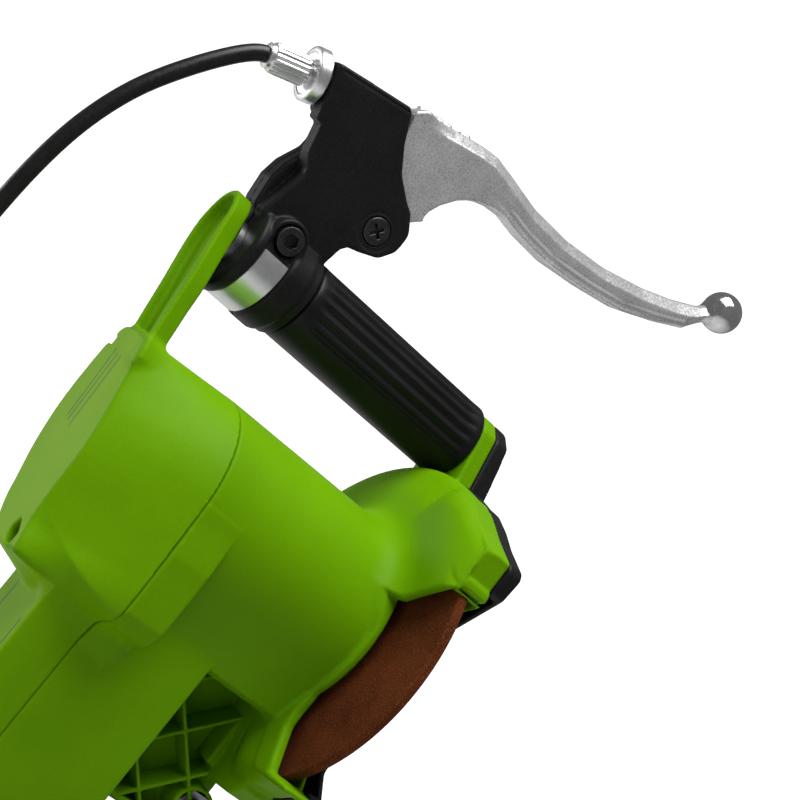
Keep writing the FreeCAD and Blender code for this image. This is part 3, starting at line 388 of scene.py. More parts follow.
def nets(D, g, relax=2, lam=0.5):
    """Closed quad mesh of the zero surface of field D."""
    D = np.ascontiguousarray(np.broadcast_to(D, (g.X.size, g.A.size, g.Z.size)), f32).copy()
    for s in (np.s_[0, :, :], np.s_[-1, :, :], np.s_[:, 0, :], np.s_[:, -1, :], np.s_[:, :, 0], np.s_[:, :, -1]):
        D[s] = np.maximum(D[s], f32(0.3 * g.h))
    S = D < 0
    n = D.shape
    N = (n[0] - 1, n[1] - 1, n[2] - 1)
    ids, pos, quads = [], [], []
    for ax in range(3):
        lo_s = [slice(None)] * 3
        hi_s = [slice(None)] * 3
        lo_s[ax], hi_s[ax] = slice(0, -1), slice(1, None)
        A_, B_ = S[tuple(lo_s)], S[tuple(hi_s)]
        I = np.argwhere(A_ != B_)
        if not len(I):
            continue
        J = I.copy()
        J[:, ax] += 1
        d0 = D[I[:, 0], I[:, 1], I[:, 2]]
        d1 = D[J[:, 0], J[:, 1], J[:, 2]]
        t = d0 / (d0 - d1)
        P = I.astype(f32)
        P[:, ax] += t
        flip = d0 >= 0
        u, v = (ax + 1) % 3, (ax + 2) % 3
        cell = []
        for du, dv in ((-1, -1), (0, -1), (0, 0), (-1, 0)):
            C = I.copy()
            C[:, u] += du
            C[:, v] += dv
            ci = (C[:, 0] * N[1] + C[:, 1]) * N[2] + C[:, 2]
            cell.append(ci)
            ids.append(ci)
            pos.append(P)
        q = np.stack(cell, 1)
        q[flip] = q[flip][:, ::-1]
        quads.append(q)
    ids, pos, quads = np.concatenate(ids), np.concatenate(pos), np.concatenate(quads)
    uniq, inv = np.unique(ids, return_inverse=True)
    cnt = np.bincount(inv).astype(float)
    V = np.stack([np.bincount(inv, pos[:, k]) / cnt for k in range(3)], 1)
    Q = np.searchsorted(uniq, quads)
    V = V * g.h + g.lo
    E = np.concatenate([Q[:, [0, 1]], Q[:, [1, 2]], Q[:, [2, 3]], Q[:, [3, 0]]])
    deg = np.bincount(E.ravel(), minlength=len(V)).astype(float)[:, None]
    for it in range(relax):
        for l in (lam, -lam * 1.04):
            S_ = np.stack([np.bincount(E[:, 0], V[E[:, 1], k], len(V)) + np.bincount(E[:, 1], V[E[:, 0], k], len(V)) for k in range(3)], 1)
            V = V + l * (S_ / deg - V)
    return V, Q


def piece(name, D, g, mats, relax=2, midx=None):
    V, Q = nets(D, g, relax)
    mi = None
    if midx is not None:
        c = V[Q].mean(1)
        mi = midx(c)
    return add_mesh(name, V, Q, mats, mi)


# ---------------------------------------------------------------- brake cable (first: it is the only cord)
def hp(x, a, z):
    return tuple(W([(x, a, z)])[0])


ROUTE = [hp(-158.9, -150.8, 28.7), hp(-163.0, -149.32, 28.7), hp(-178.0, -128.6, 28.7), hp(-191.7, -103.0, 28.7), hp(-199.4, -70.0, 28.7),
         hp(-200.2, -20.0, 28.7), (-0.1752, 0.106, 0.155), (-0.175, 0.070, 0.082), (-0.169, 0.030, 0.032), (-0.158, -0.008, 0.0155),
         (-0.140, -0.027, 0.0125), (-0.1076, -0.027, 0.0125)]


def nurbs_points(route, res=24):
    cu = bpy.data.curves.new("route", "CURVE")
    cu.dimensions = "3D"
    cu.resolution_u = res
    sp = cu.splines.new("NURBS")
    sp.points.add(len(route) - 1)
    for k, p in enumerate(route):
        sp.points[k].co = (*p, 1.0)
    sp.order_u = 3
    sp.use_endpoint_u = True
    ob = bpy.data.objects.new("route", cu)
    bpy.context.scene.collection.objects.link(ob)
    bpy.context.view_layer.update()
    me = bpy.data.meshes.new_from_object(ob)
    P = [tuple(v.co) for v in me.vertices]
    bpy.data.objects.remove(ob)
    bpy.data.curves.remove(cu)
    bpy.data.meshes.remove(me)
    return P


def tube(P, radius, sides=28, profile=None):
    """A closed tube along points, with frames carried along without twist."""
    P = np.asarray(P, float)
    T = np.gradient(P, axis=0)
    T /= np.linalg.norm(T, axis=1)[:, None]
    u = np.cross(T[0], [0, 0, 1.0])
    u /= np.linalg.norm(u)
    V, s = [], 0.0
    for i in range(len(P)):
        u = u - T[i] * (u @ T[i])
        u /= np.linalg.norm(u)
        w = np.cross(T[i], u)
        if i:
            s += np.linalg.norm(P[i] - P[i - 1])
        r = radius if profile is None else profile(s)
        for j in range(sides):
            g = 2 * math.pi * j / sides
            V.append(P[i] + r * (math.cos(g) * u + math.sin(g) * w))
    n = len(P)
    F = [[i * sides + j, i * sides + (j + 1) % sides, (i + 1) * sides + (j + 1) % sides, (i + 1) * sides + j] for i in range(n - 1) for j in range(sides)]
    F.append(list(range(sides))[::-1])
    F.append([(n - 1) * sides + j for j in range(sides)])
    return np.array(V), F


path = nurbs_points(ROUTE)
V, F = tube(path, 0.0034)
cable = add_mesh("brake_cable_sheath", V, F, ["cable_sheath"], world=True, sharp=50)
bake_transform(cable)
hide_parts("brake_cable")

# ---------------------------------------------------------------- green shells
SEAM, COVER_END = -92.0, -133.1
HA, HZ = 125.0, -10.5
WALL = 3.0
S1 = spline([(-41.1, 0), (-40, -9.5), (-37, -18), (-31, -27), (-23, -34.1), (-12, -39.3), (0, -41.1), (15, -42.2), (31, -43.4), (43.5, -43.0), (48.2, -39), (51.4, -31.5), (57, -27.5), (64.5, -18.6), (66, 4), (57, 8.5), (50.5, 12), (46, 17), (36, 27), (24, 35), (10, 40), (-5, 40.8), (-20, 36), (-31, 27), (-37, 18), (-40, 9.5)], 4)
S3 = spline([(-39.2, 8), (-38.6, 1.5), (-36, -1), (-29, -3.8), (-21, -7), (-9, -12.5), (6.6, -17.7), (22.8, -19.4), (35.6, -21.5), (44, -25.6), (48.7, -26.6), (49.4, -22), (50.9, -13.9), (50, -3), (45.5, 5), (38.5, 12), (31.6, 16), (18, 24.2), (3, 29.8), (-10, 31.8), (-24, 32.2), (-33, 30.7), (-37.8, 28), (-39.3, 20)], 4)


def arm_field(g, x0, x1, r, off=0.0):
    pr = fillets([(40, -28.5 + off), (HA, -28.5 + off), (HA + 18 - off, HZ - 18 + off, 17.9 - off), (HA + 18 - off, HZ + 18 - off, 17.9 - off), (HA, 7.5 - off), (40, 7.5 - off)])
    return g.ext("x", pr, x0, x1, r)


SCREWS = [(44.5, -16.0), (-27.0, 23.5), (102.0, 0.5)]
g = Grid((-134.5, -108, -47), (-90.6, 145, 45), 0.7)
d1, d3 = g.P("x", S1), g.P("x", S3)
t1 = np.clip((g.X - SEAM) / (COVER_END - SEAM), 0, 1)
loft = lerp(d1, d3, t1)
body = sI(loft, f32(COVER_END) - g.X, 1.2)
arm_c = arm_field(g, -113.5, SEAM + 6, 1.4)
D = sU(body, arm_c, f32(1.2) + f32(4.3) * np.clip((-20.0 - g.Z) / 6.0, 0, 1) * np.ones_like(g.X))
P1 = spline([(-30, -3.2), (-41, 0.2), (-61.9, 6.3), (-75.4, 10.8), (-85.8, 14.8), (-95.9, 18.2), (-100.9, 21.2), (-104.8, 25.6), (-105.3, 29), (-104.2, 33.4), (-101.4, 36.8), (-97.4, 38.9), (-92.2, 40.0), (-86, 39.9), (-78, 37.6), (-69.2, 34.0), (-59.8, 29.8), (-49.4, 25.8), (-40.1, 22.2), (-30, 19.3)], 4)
P2 = spline([(-30, 1.5), (-43.4, 4.4), (-55, 7.8), (-66.5, 10.5), (-79.9, 15.7), (-94.5, 21.0), (-101.5, 24.2), (-105.2, 28.4), (-104.6, 33.2), (-101.6, 36.8), (-97.4, 38.9), (-92.2, 40.0), (-86, 39.9), (-78, 37.6), (-69.2, 34.0), (-59.8, 29.8), (-49.4, 25.8), (-40.1, 22.2), (-30, 20.3)], 4)
ts = np.clip((g.X - COVER_END) / 8.5, 0, 1)
q = lerp(g.P("x", P1), g.P("x", P2), ts)
strut = slab(q, g.X, COVER_END, -124.6, 0.9)
D = sU(D, strut, f32(1.4) + f32(4.6) * np.clip((f32(6.0) - g.Z) / f32(8.0), 0, 1) * np.ones_like(g.X))
# the strut's open channel, deepest in the loop
inner = spline([(-36, 4.0), (-41.6, 5.6), (-53.5, 9.8), (-62.7, 12.4), (-71.1, 14.6), (-80, 17.6), (-92.1, 20.8), (-99.3, 23.9), (-102.6, 28.4), (-102.4, 32.2), (-100.0, 35.2), (-96.6, 36.9), (-92, 37.9), (-86, 37.7), (-78, 35.5), (-69.2, 31.9), (-59.8, 27.7), (-49.4, 23.7), (-41, 20.6), (-36, 19.0)], 4)
ch = np.maximum(slab(g.P("x", inner), g.X, -140.0, -128.4, 1.6), g.A + f32(40.8))
D = sC(D, ch, 1.0)
loop = spline([(-75.5, 16.8), (-84, 19.4), (-92.1, 21.9), (-98.6, 24.9), (-101.3, 28.6), (-100.2, 31.2), (-96.5, 30.4), (-91.0, 27.2), (-84.5, 23.4), (-78.0, 20.0)], 4)
D = sC(D, slab(g.P("x", loop), g.X, -140.0, -127.4, 0.4), 0.4)
# hollow, screw seats, grooves, bearing seat
hol = loft + f32(WALL)
hol = np.maximum(hol, f32(-125.0) - g.X)
hol = np.minimum(hol, arm_field(g, -113.5 + WALL, SEAM + 9, 1.0, WALL))
for a, z in SCREWS[:2]:
    hol = np.maximum(hol, -g.cyl("x", a, z, 5.0, -130, -80))
hol = np.maximum(hol, -g.cyl("x", SCREWS[2][0], SCREWS[2][1], 5.0, -120, -80))
hol = np.maximum(hol, -g.cyl("x", 0, 0, 14.0, -130, -110))
hol = np.maximum(hol, -g.cyl("x", HA, HZ, 12.0, -120, -80))
D = sC(D, hol, 0.6)
a, z = SCREWS[0]
D = sC(D, g.ext("x", fillets([(39.0, -13.6, 0.8), (44.6, -11.4, 3.4), (49.2, -14.6, 3), (48.4, -20.2, 2.6), (43.6, -20.0, 3)]), -140, -122.6), 0.5)
D = np.maximum(D, -g.cyl("x", a, z, 2.05, -140, -80))
D = sC(D, g.cyl("x", -30.8, 29.6, 2.3, -140, -130.0), 0.4)
for a, z in SCREWS[1:2]:
    D = np.maximum(D, -g.cyl("x", a, z, 2.05, -125.3, -80))
    D = np.maximum(D, -g.cyl("x", a, z, 4.0, -125.3, -122.5))
D = sC(D, g.cyl("x", SCREWS[2][0], SCREWS[2][1], 4.0, -118, -110.3), 0.9)
D = np.maximum(D, -g.cyl("x", SCREWS[2][0], SCREWS[2][1], 2.05, -118, -80))
D = np.maximum(D, -g.cyl("x", 0, 0, 11.02, -118, -90))
D = np.maximum(D, -g.cyl("x", HA, HZ, 9.02, -120, -80))
D = np.maximum(D, -g.cyl("x", -88.5, 28.7, 3.65, -127.05, -124))
# seam plane with a small chamfered lip
D = sI(D, g.X - f32(SEAM - 0.08), 0.45)


def painted_lit_face_index(c):
    """The end faces take a lighter copy of the green: painted light and painted sheen where the left lamp falls."""
    k = np.zeros(len(c), np.int32)
    # the cover's end face and the arm's left end face get the painted light
    k[(c[:, 0] < COVER_END + 0.3) & (poly(S3, c[:, 1], c[:, 2]) < -1.3)] = 1
    k[(c[:, 0] < -112.9) & (c[:, 1] > 50)] = 1
    return k


cover = piece("motor_cover_shell", D, g, ["green_plastic", "green_painted_lit_face"], 2, painted_lit_face_index)
put(cover, "head", "green_plastic", "motor_cover")

# engraved lines: thin channels laid just under the end faces, coloured a darker green as painted shade in the grooves
def groove(name, p, q, w, depth, face_x, mat):
    """A shallow engraved line between two (a, z) points on the plane x = face_x, as a narrow V-shaped inlay."""
    p, q = np.array(p, float), np.array(q, float)
    d = (q - p) / np.linalg.norm(q - p)
    n = np.array([-d[1], d[0]])
    V, F = [], []
    L = [(p, 0.15), (p + d * 1.2, 1.0), (q - d * 1.2, 1.0), (q, 0.15)]
    for c, s in L:
        for k, (off, h) in enumerate(((-0.5, 0.0), (-0.30, -1.0), (0.30, -1.0), (0.5, 0.0), (0.30, 0.02), (-0.30, 0.02))):
            v = c + n * off * w * s
            V.append((face_x - 0.03 + (0.0 if h >= 0 else depth * s), v[0], v[1]))
    m_ = 6
    for i in range(3):
        for k in range(m_):
            F.append([i * m_ + k, i * m_ + (k + 1) % m_, (i + 1) * m_ + (k + 1) % m_, (i + 1) * m_ + k])
    F.append(list(range(m_))[::-1])
    F.append([3 * m_ + k for k in range(m_)])
    return add_mesh(name, V, F, [mat], smooth=False)


# darker green for the groove inlays: painted shade inside the recess, not a different plastic
M["groove_painted_shade"] = surface("groove_painted_shade", (0.050, 0.140, 0.001), (0.062, 0.165, 0.001), 0.6, grain=1500.0, grain_s=0.1)
for k, (p, q) in enumerate((((-35.5, 20.7), (1.9, 15.2)), ((-32.9, 16.2), (3.3, 11.9)), ((-34.5, 12.2), (4.6, 7.3)))):
    put(groove("cover_groove_%d" % k, p, q, 1.0, 0.5, COVER_END, "groove_painted_shade"), "head", "green_plastic")
for k, (a0, a1, z) in enumerate(((66, 104, -25.3), (59, 104, -2.6))):
    put(groove("arm_groove_%d" % k, (a0, z), (a1, z), 1.2, 0.5, -113.5, "groove_painted_shade"), "head", "green_plastic")

# -- main housing
GR, GI, SPLIT = 75.1, 73.3, 13.0
g = Grid((-93.2, -109, -75), (22.2, 145, 78), 0.8)
rad = np.sqrt(g.A ** 2 + g.Z ** 2)
barrel = slab(rad - f32(41.1), g.X, SEAM, -1.0, 0.6)
sec = fillets([(-5.8, -40.69), (15.2, -43.7), (41.5, -43.8, 2.2), (48.2, -39, 4), (51.6, -31.0, 4), (57, -27), (57, 7.3, 2), (46, 17, 9), (36, 27, 9), (20, 36, 9), (-5.8, 38)])
boxy = g.ext("x", sec, SEAM - 4, -74.0, 0.8)
D = sU(barrel, boxy, 0.6)
skirt = g.ext("x", fillets([(0, -30), (5, -40.4), (13.3, -38.8), (42.4, -27.6, 1.0), (45.0, -20, 4), (45.5, 3), (30, 28), (5, 39)]), -76.5, -4.6, 0.5)
D = sU(D, skirt, 0.4)
arm_h = arm_field(g, SEAM - 4, -41.5, 0.9)
kk = np.where(g.X < -75.5, f32(9.0), f32(1.2)) * np.ones_like(g.X)
kk = f32(1.2) + f32(7.8) * np.clip((-72.0 - g.X) / 6.0, 0, 1)
D = sU(D, arm_h, kk)
# wheel guard: hood flowing out of the barrel
cornerp = fillets([(-60, 20), (-72, 12, 4), (-73.8, 0, 6), (-73.6, -8.5, 8), (-72.2, -24.5, 8), (-68.6, -34.9, 8), (-64.0, -45.3, 4), (-58.7, -60.4, 2.0), (-56.6, -62.4, 1.5), (-45.5, -62.8, 3), (-41.0, -63.6, 1), (-39.4, -62), (-39.4, -40), (-45, 0)])
dc = g.P("x", cornerp)
ring2 = rad - f32(GR) + f32(0.6) * np.clip((g.Z + f32(30.0)) / f32(20.0), 0, 1)
prof = np.minimum(ring2, dc)
hood = slab(prof, g.X, -5.0, SPLIT, 0.0)
# rounded left edge, broad over the top and tighter towards the corner
rr = f32(6.0) + f32(8.0) * np.clip((g.Z + f32(36.0)) / f32(26.0), 0, 1)
w = -(g.X + f32(5.0))
hood = np.minimum(np.maximum(prof + rr, w + rr), 0) + np.sqrt(np.maximum(prof + rr, 0) ** 2 + np.maximum(w + rr, 0) ** 2) - rr
hood = np.maximum(hood, g.X - f32(SPLIT))
cone = f32(-0.920) * (g.X + f32(5.0)) + f32(0.392) * (rad - f32(56.0)) - f32(16.0) * np.clip((f32(-14.0) - g.Z) / f32(24.0), 0, 1)
hood = sI(hood, cone, 3.0)
hood = sI(hood, g.plane((-1.0, -0.388, -0.316), (-5.0, -67.4, -32.2)), 5.0)
block = g.ext("x", fillets([(-71.0, -29.0), (-68.6, -34.9, 6), (-64.0, -45.3, 4), (-58.7, -59.6, 1.6), (-57.0, -60.9, 1.0), (-45.9, -61.2, 0.5), (-44.3, -62.9, 0.8), (-41.0, -63.6, 0.8), (-39.4, -60), (-48, -36)]), 0.1, SPLIT, 0.35)
flare_k = f32(1.2) + f32(13.0) * np.clip((f32(-6.0) - g.A) / f32(16.0), 0, 1) * np.ones_like(g.X)
D2 = sU(hood, slab(rad - f32(41.1), g.X, -60.0, -1.0, 0.0), flare_k)
recess = np.maximum(g.box(0.1, SPLIT + 3, -57.4, -39.0, -74, -50), -g.P("x", fillets([(-71.0, -29.0), (-68.6, -34.9, 6), (-64.0, -45.3, 4), (-58.7, -59.2, 1.6), (-57.0, -60.5, 1.0), (-45.9, -60.8, 0.5), (-44.3, -62.6, 0.8), (-41.0, -63.6, 0.8), (-39.4, -60), (-48, -36)])))
D2 = sC(D2, recess, 0.3)
outer_skin = D2
D2 = sU(D2, block, 0.4)
# hollow of the guard
cavity = np.maximum(np.maximum(rad - f32(GI), -(g.X + f32(1.2))), outer_skin + f32(1.15))
hollowc = np.maximum(g.ext("x", fillets([(-66, -38, 2), (-61.0, -47.5, 2), (-56.4, -57.0, 2), (-46, -58.3, 2), (-46, -50), (-60, -30)]), 0.5, SPLIT + 4), outer_skin + f32(1.6))
D2 = sC(D2, np.minimum(cavity, hollowc), 0.6)
ex = [(-40.4, -80), (-40.1, -66), (-39.3, -64.2), (-29.5, -51.0), (-22.9, -42.8)] + [(43.4 * math.cos(math.radians(d)), -43.4 * math.sin(math.radians(d))) for d in range(120, 50, -6)] + [(30, -35.2), (35, -34.2), (41.7, -35.9), (57.5, -46.0), (56.6, -80)]
exd = g.ext("x", ex, -12, SPLIT + 4)
keep = slab(rad - f32(41.1), g.X, SEAM, -1.0)
D2 = sC(D2, exd, 1.4)
D2 = np.minimum(D2, slab(rad - f32(43.4), g.X, -5.0, -1.2, 1.2))
lowarm = fillets([(25, -20), (39.6, -19.7), (60, -33.9, 4), (62, -37.4, 3), (58.7, -62.4, 1), (56.6, -61.5), (57.5, -45.6), (41, -34), (25, -34)])
la = np.maximum(g.ext("x", lowarm, -5.0, SPLIT, 1.3), -cavity)
tab = g.ext("x", fillets([(44, 8), (52.3, -0.4, 2), (72.5, -7.7, 1), (78.6, -6.4, 1), (76.5, -25.6, 1.5), (70.7, -32.6, 1.5), (60, -33, 2), (50, -20)]), -1.3, SPLIT, 1.0)
tab = np.minimum(np.maximum(tab, -cavity), np.maximum(g.ext("x", [(30, 30), (66, 36), (79, -6), (76.5, -25.5), (60, -30), (45, 0)], -1.3, SPLIT, 0.8), -cavity))
D2 = sU(D2, la, 1.5)
D2 = sU(D2, tab, 1.5)
D = sU(D, D2, f32(0.15) + f32(1.85) * np.clip((rad - f32(42.5)) / f32(3.0), 0, 1))
# right strut, green half
rst = fillets([(-58, 1.4), (-73.6, 6.2, 1.5), (-99.3, 14.6, 5), (-104.4, 22, 8), (-104.8, 34, 10), (-98, 46.3, 12), (-86, 47.3, 12), (-66, 40, 8), (-56, 52)])
rs = np.maximum(g.ext("x", rst, SPLIT, 21.0, 0.9), -(rad - f32(GR - 0.5)))
root = np.maximum(g.ext("x", fillets([(-62, -2), (-72.6, 2.5, 2), (-74.6, 6, 2), (-74.0, 9, 3), (-72.0, 13, 3), (-60, 13)]), 9.5, SPLIT + 1.5, 0.8), -(rad - f32(GI)))
root2 = np.maximum(g.ext("x", fillets([(-56, 38), (-60, 44, 3), (-66, 42, 3), (-66, 36, 3), (-58, 30)]), 11.0, SPLIT + 1.5, 0.8), -(rad - f32(GI)))
D = sU(D, sU(rs, np.minimum(root, root2), 1.5), 1.0)
# hollow barrel, box and arm
outer = D
hol = slab(rad - f32(38.1), g.X, SEAM - 9, -5.5)
hol = np.minimum(hol, g.ext("x", [(0, -38), (15, -39.2), (31, -40.4), (42, -40.4), (47, -35), (49, -25.5), (60, -25.5), (60, 4.5), (50, 4.5), (34, 24), (20, 32), (0, 34)], SEAM - 9, -77.0))
hol = np.minimum(hol, arm_field(g, SEAM - 9, -41.5 - WALL, 1.0, WALL))
for a, z in SCREWS:
    x1 = -60.0 if a > 90 else (-84.0 if a < 0 else -76.0)
    hol = np.maximum(hol, -g.cyl("x", a, z, 5.0, SEAM - 12, x1))
hol = np.maximum(hol, -g.cyl("x", HA, HZ, 12.0, -59, -30))
hol = np.maximum(hol, -(g.cyl("x", 0, 0, 20.0, -12.5, -3.2)))
hol = np.maximum(hol, outer + f32(1.8))
D = sC(D, hol, 0.6)
D = np.maximum(D, -g.cyl("x", 0, 0, 13.02, -12.6, 0))
D = np.maximum(D, -g.cyl("x", 0, 0, 23.5, -3.0, 2))
D = np.maximum(D, -g.cyl("x", HA, HZ, 9.02, -100, -30))
D = np.maximum(D, -g.cyl("x", -88.5, 28.7, 9.55, 10, 19))
D = np.maximum(D, -g.box(-82, -62, 58, 88, 3, 9))
D = np.maximum(D, -g.cyl("z", -51, 72, 5.02, 3, 9))
# rib plate and the depth screw's boss
plate = np.minimum(g.box(-44, 13, 20, 106, 5.5, 8.5, 0.5), g.box(-42, 11, 103, 106, -7.5, 8.5, 0.5))
plate = np.minimum(plate, g.box(-6, 12.9, 76, 106, 5.5, 8.5, 0.5))
plate = np.maximum(plate, -np.maximum(rad - f32(GI), np.abs(g.X - 5.5) - f32(8.5)))
D = np.minimum(D, plate)
D = np.minimum(D, np.maximum(g.box(-4.9, -1.3, 46, 74.6, -7, 14), rad - f32(GR - 0.4)))
D = sU(D, g.cyl("z", 3.0, 92.5, 9.0, -7.5, 14, 0.6), 1.0)
D = np.maximum(D, -g.cyl("z", 3.0, 92.5, 4.05, -9, 16))
D = np.maximum(D, -g.cyl("z", 3.0, 92.5, 7.3, -9, -0.5))
D = sU(D, np.maximum(g.cyl("x", 57.0, 57.0, 6.7, 3.0, SPLIT, 0.5), -(rad - f32(GI))), 1.0)
D = np.maximum(D, -g.cyl("x", 57.0, 57.0, 1.55, 4.0, 20.0))
D = sI(D, f32(SEAM + 0.08) - g.X, 0.45)
housing = piece("main_housing_shell", D, g, ["green_plastic"], 2)
put(housing, "head", "green_plastic", "main_housing")

# crossed ribs under the plate
g = Grid((-44, 36, -8.6), (7, 107, 8), 0.42)
rad = np.sqrt(g.A ** 2 + g.Z ** 2)
R = None
for k in range(-4, 5):
    for sg, off in ((1, 3.2), (-1, -11.0)):
        if sg == 1 and k == -1:
            continue
        c = ((g.X + f32(14.0)) * f32(sg) - (g.A - f32(73.0)) + f32(28.5 * k + off)) * f32(math.sqrt(0.5))
        d = slab(np.abs(c) - f32(0.75), g.Z, -7.4, 6.2, 0.4)
        R = d if R is None else sU(R, d, 0.9)
R = np.maximum(R, g.box(-42.5, 5.0, 37, 105, -9, 7))
R = np.maximum(R, -np.maximum(rad - f32(GR - 0.8), -(g.X + f32(4.6))))
R = np.maximum(R, f32(40.6) - rad + 0 * g.X)
ribs = piece("housing_ribs", R, g, ["green_plastic"], 1)
put(ribs, "head", "green_plastic")

# -- black guard cover
CX, CAPX = 21.0, 27.0
g = Grid((11.5, -109, -75), (32.0, 82, 78), 0.8)
rad = np.sqrt(g.A ** 2 + g.Z ** 2)
cb = fillets([(-60, 20), (-72.4, 12, 4), (-74.0, 0, 6), (-73.8, -8.5, 8), (-72.4, -24.5, 8), (-68.8, -34.9, 8), (-64.1, -45.3, 4), (-58.8, -60.2, 3.5), (-56.0, -62.2, 2.5), (-45.6, -61.2, 2), (-42.6, -64.0, 1), (-30, -45), (-40, 0)])
pr = np.minimum(rad - f32(GR - 0.1), g.P("x", cb))
pr = np.minimum(pr, g.P("x", fillets([(30, -20), (60.3, -44.8, 3), (57, -52), (56.5, -62, 1), (50, -60), (40, -40)])))
pr = np.minimum(pr, g.P("x", fillets([(30, 30), (66, 36, 3), (79, -6, 2), (76.5, -25.5, 2), (70.5, -32.6, 2), (60, -30), (45, 0)])))
D = slab(pr, g.X, SPLIT + 0.15, CX, 1.6)
D = np.minimum(D, slab(pr, g.X, SPLIT + 0.15, SPLIT + 3, 0.4))
D = np.maximum(D, -np.maximum(rad - f32(GI), np.abs(g.X - 14.0) - f32(4.4)))
lug = np.maximum(g.ext("x", fillets([(30, 20), (52, 62, 5), (62, 60, 5), (70, 20)]), SPLIT + 0.15, CX - 2.0, 0.8), -(rad - f32(GI)))
D = sU(D, lug, 1.0)
ex2 = fillets([(-41.5, -80), (-45.4, -60.6), (-25.2, -46.8, 5), (-8, -48.5, 10), (12, -48, 10), (32, -41.5, 10), (47, -38, 4), (56.5, -50.0), (57.5, -80)])
D = sC(D, g.ext("x", ex2, 8, 26), 1.2)
bst = [(p[0], p[1] + 1.5 * 0) for p in rst]
st = sI(g.ext("x", rst, CX + 0.1, 30.7, 1.6), (g.X - f32(28.0) - f32(0.10) * (g.A + f32(105.0))) * f32(0.995), 1.2)
D = sU(D, np.maximum(st, -(rad - f32(GR - 9.0))), 1.5)
D = sU(D, g.cyl("x", 0, 0, 20.0, CX - 2.6, 31.0, 2.0), 3.0)
D = np.maximum(D, -g.cyl("x", 0, 0, 17.4, 10, 28.6))
for a, z in [(-52.6, -55.0), (57.0, 57.0), (75.0, -18.0)]:
    D = sC(D, g.cyl("x", a, z, 3.9, CX - 3.2 if a > -90 else CAPX - 3.2, 40), 0.6)
    D = np.maximum(D, -g.cyl("x", a, z, 2.05, 8, 40))
D = sC(D, g.cyl("x", -88.5, 28.7, 4.6, CAPX - 3.2, 40), 0.6)
D = np.maximum(D, -g.cyl("x", -88.5, 28.7, 2.6, 8, 40))
guard = piece("guard_cover_shell", D, g, ["black_plastic"], 2)
put(guard, "head", "black_plastic", "guard_cover")

# ---------------------------------------------------------------- grip
GA, GZ = -88.5, 28.7


def turned(name, prof, mats, n=96, a=GA, z=GZ, fn=None, midx=None, closed=True, sharp=35):
    """A ring-by-ring body about an axis along x: prof is (x, r) round the closed section."""
    V, F = [], []
    k = len(prof)
    for i in range(n):
        th = 2 * math.pi * i / n
        for j, (x, r) in enumerate(prof):
            rr_ = r if fn is None else fn(x, r, th, j)
            V.append((x, a + rr_ * math.cos(th), z + rr_ * math.sin(th)))
    for i in range(n):
        for j in range(k if closed else k - 1):
            F.append([i * k + j, i * k + (j + 1) % k, ((i + 1) % n) * k + (j + 1) % k, ((i + 1) % n) * k + j])
    mi = None if midx is None else [midx(f[0] % k) for f in F]
    return add_mesh(name, V, F, mats, mi, sharp=sharp)


GX0, GX1, GRr = -87.0, 12.8, 17.8


def flute(x, r, th, j):
    """Lengthwise flutes over the upper part; the lower part is smooth with two moulding lines."""
    if r < 12:
        return r
    d = math.degrees(th) % 360.0
    env = min(1.0, max(0.0, (x - GX0 - 4.0) / 5.0)) * min(1.0, max(0.0, (GX1 - 3.5 - x) / 5.0))
    up = 0.0
    # flutes from straight up and away (a negative) round to the camera side
    c = (d - 215.0 + 180.0) % 360.0 - 180.0
    if abs(c) < 75:
        up = min(1.0, (75 - abs(c)) / 8.0)
    v = 0.5 + 0.5 * math.cos(math.radians(c * 360.0 / 17.0))
    r2 = r - 1.25 * up * env * (1 - v) ** 1.1
    for q_ in (286.0, 292.5):
        e = (d - q_ + 180.0) % 360.0 - 180.0
        r2 += -0.35 * env * math.exp(-(e / 1.1) ** 2)
    return r2


pf = []
nx = 44
for i in range(nx + 1):
    pf.append((GX0 + 1.6 + (GX1 - GX0 - 2.6) * i / nx, GRr))
outer = [(GX0, 9.55), (GX0, GRr - 1.8), (GX0 + 0.5, GRr - 0.6)] + pf + [(GX1 - 0.3, GRr - 0.5), (GX1, GRr - 1.6), (GX1, 9.55)]
outer = [(GX0, 9.55), (GX0, 14.0), (GX0, GRr - 1.6), (GX0 + 0.25, GRr - 0.8), (GX0 + 0.8, GRr - 0.25)] + pf + [(GX1 - 0.45, GRr - 0.3), (GX1 - 0.1, GRr - 0.9), (GX1, GRr - 1.6), (GX1, 14.0), (GX1, 9.55)]
grip = turned("grip_sleeve", outer[::-1], ["black_rubber"], 288, fn=flute, sharp=50)
put(grip, "head", "black_rubber", "grip")

# ---------------------------------------------------------------- lever bracket
LX, LA = -81.1, -129.0
AD0, AD1 = np.array([-134.4, -159.6]), np.array([-158.8, -150.8])
DL = float(np.linalg.norm(AD1 - AD0))
DU = (AD1 - AD0) / DL
DN = np.array([-DU[1], DU[0]])
g = Grid((-151, -180, 8), (-62, -66, 51), 0.62)


def along(g, s0, s1, r, e=0.0):
    """A cylinder on the cable adjuster's axis."""
    s = (g.X - f32(AD0[0])) * f32(DU[0]) + (g.A - f32(AD0[1])) * f32(DU[1])
    n_ = (g.X - f32(AD0[0])) * f32(DN[0]) + (g.A - f32(AD0[1])) * f32(DN[1])
    return slab(np.sqrt(n_ ** 2 + (g.Z - f32(GZ)) ** 2) - f32(r), s, s0, s1, e)


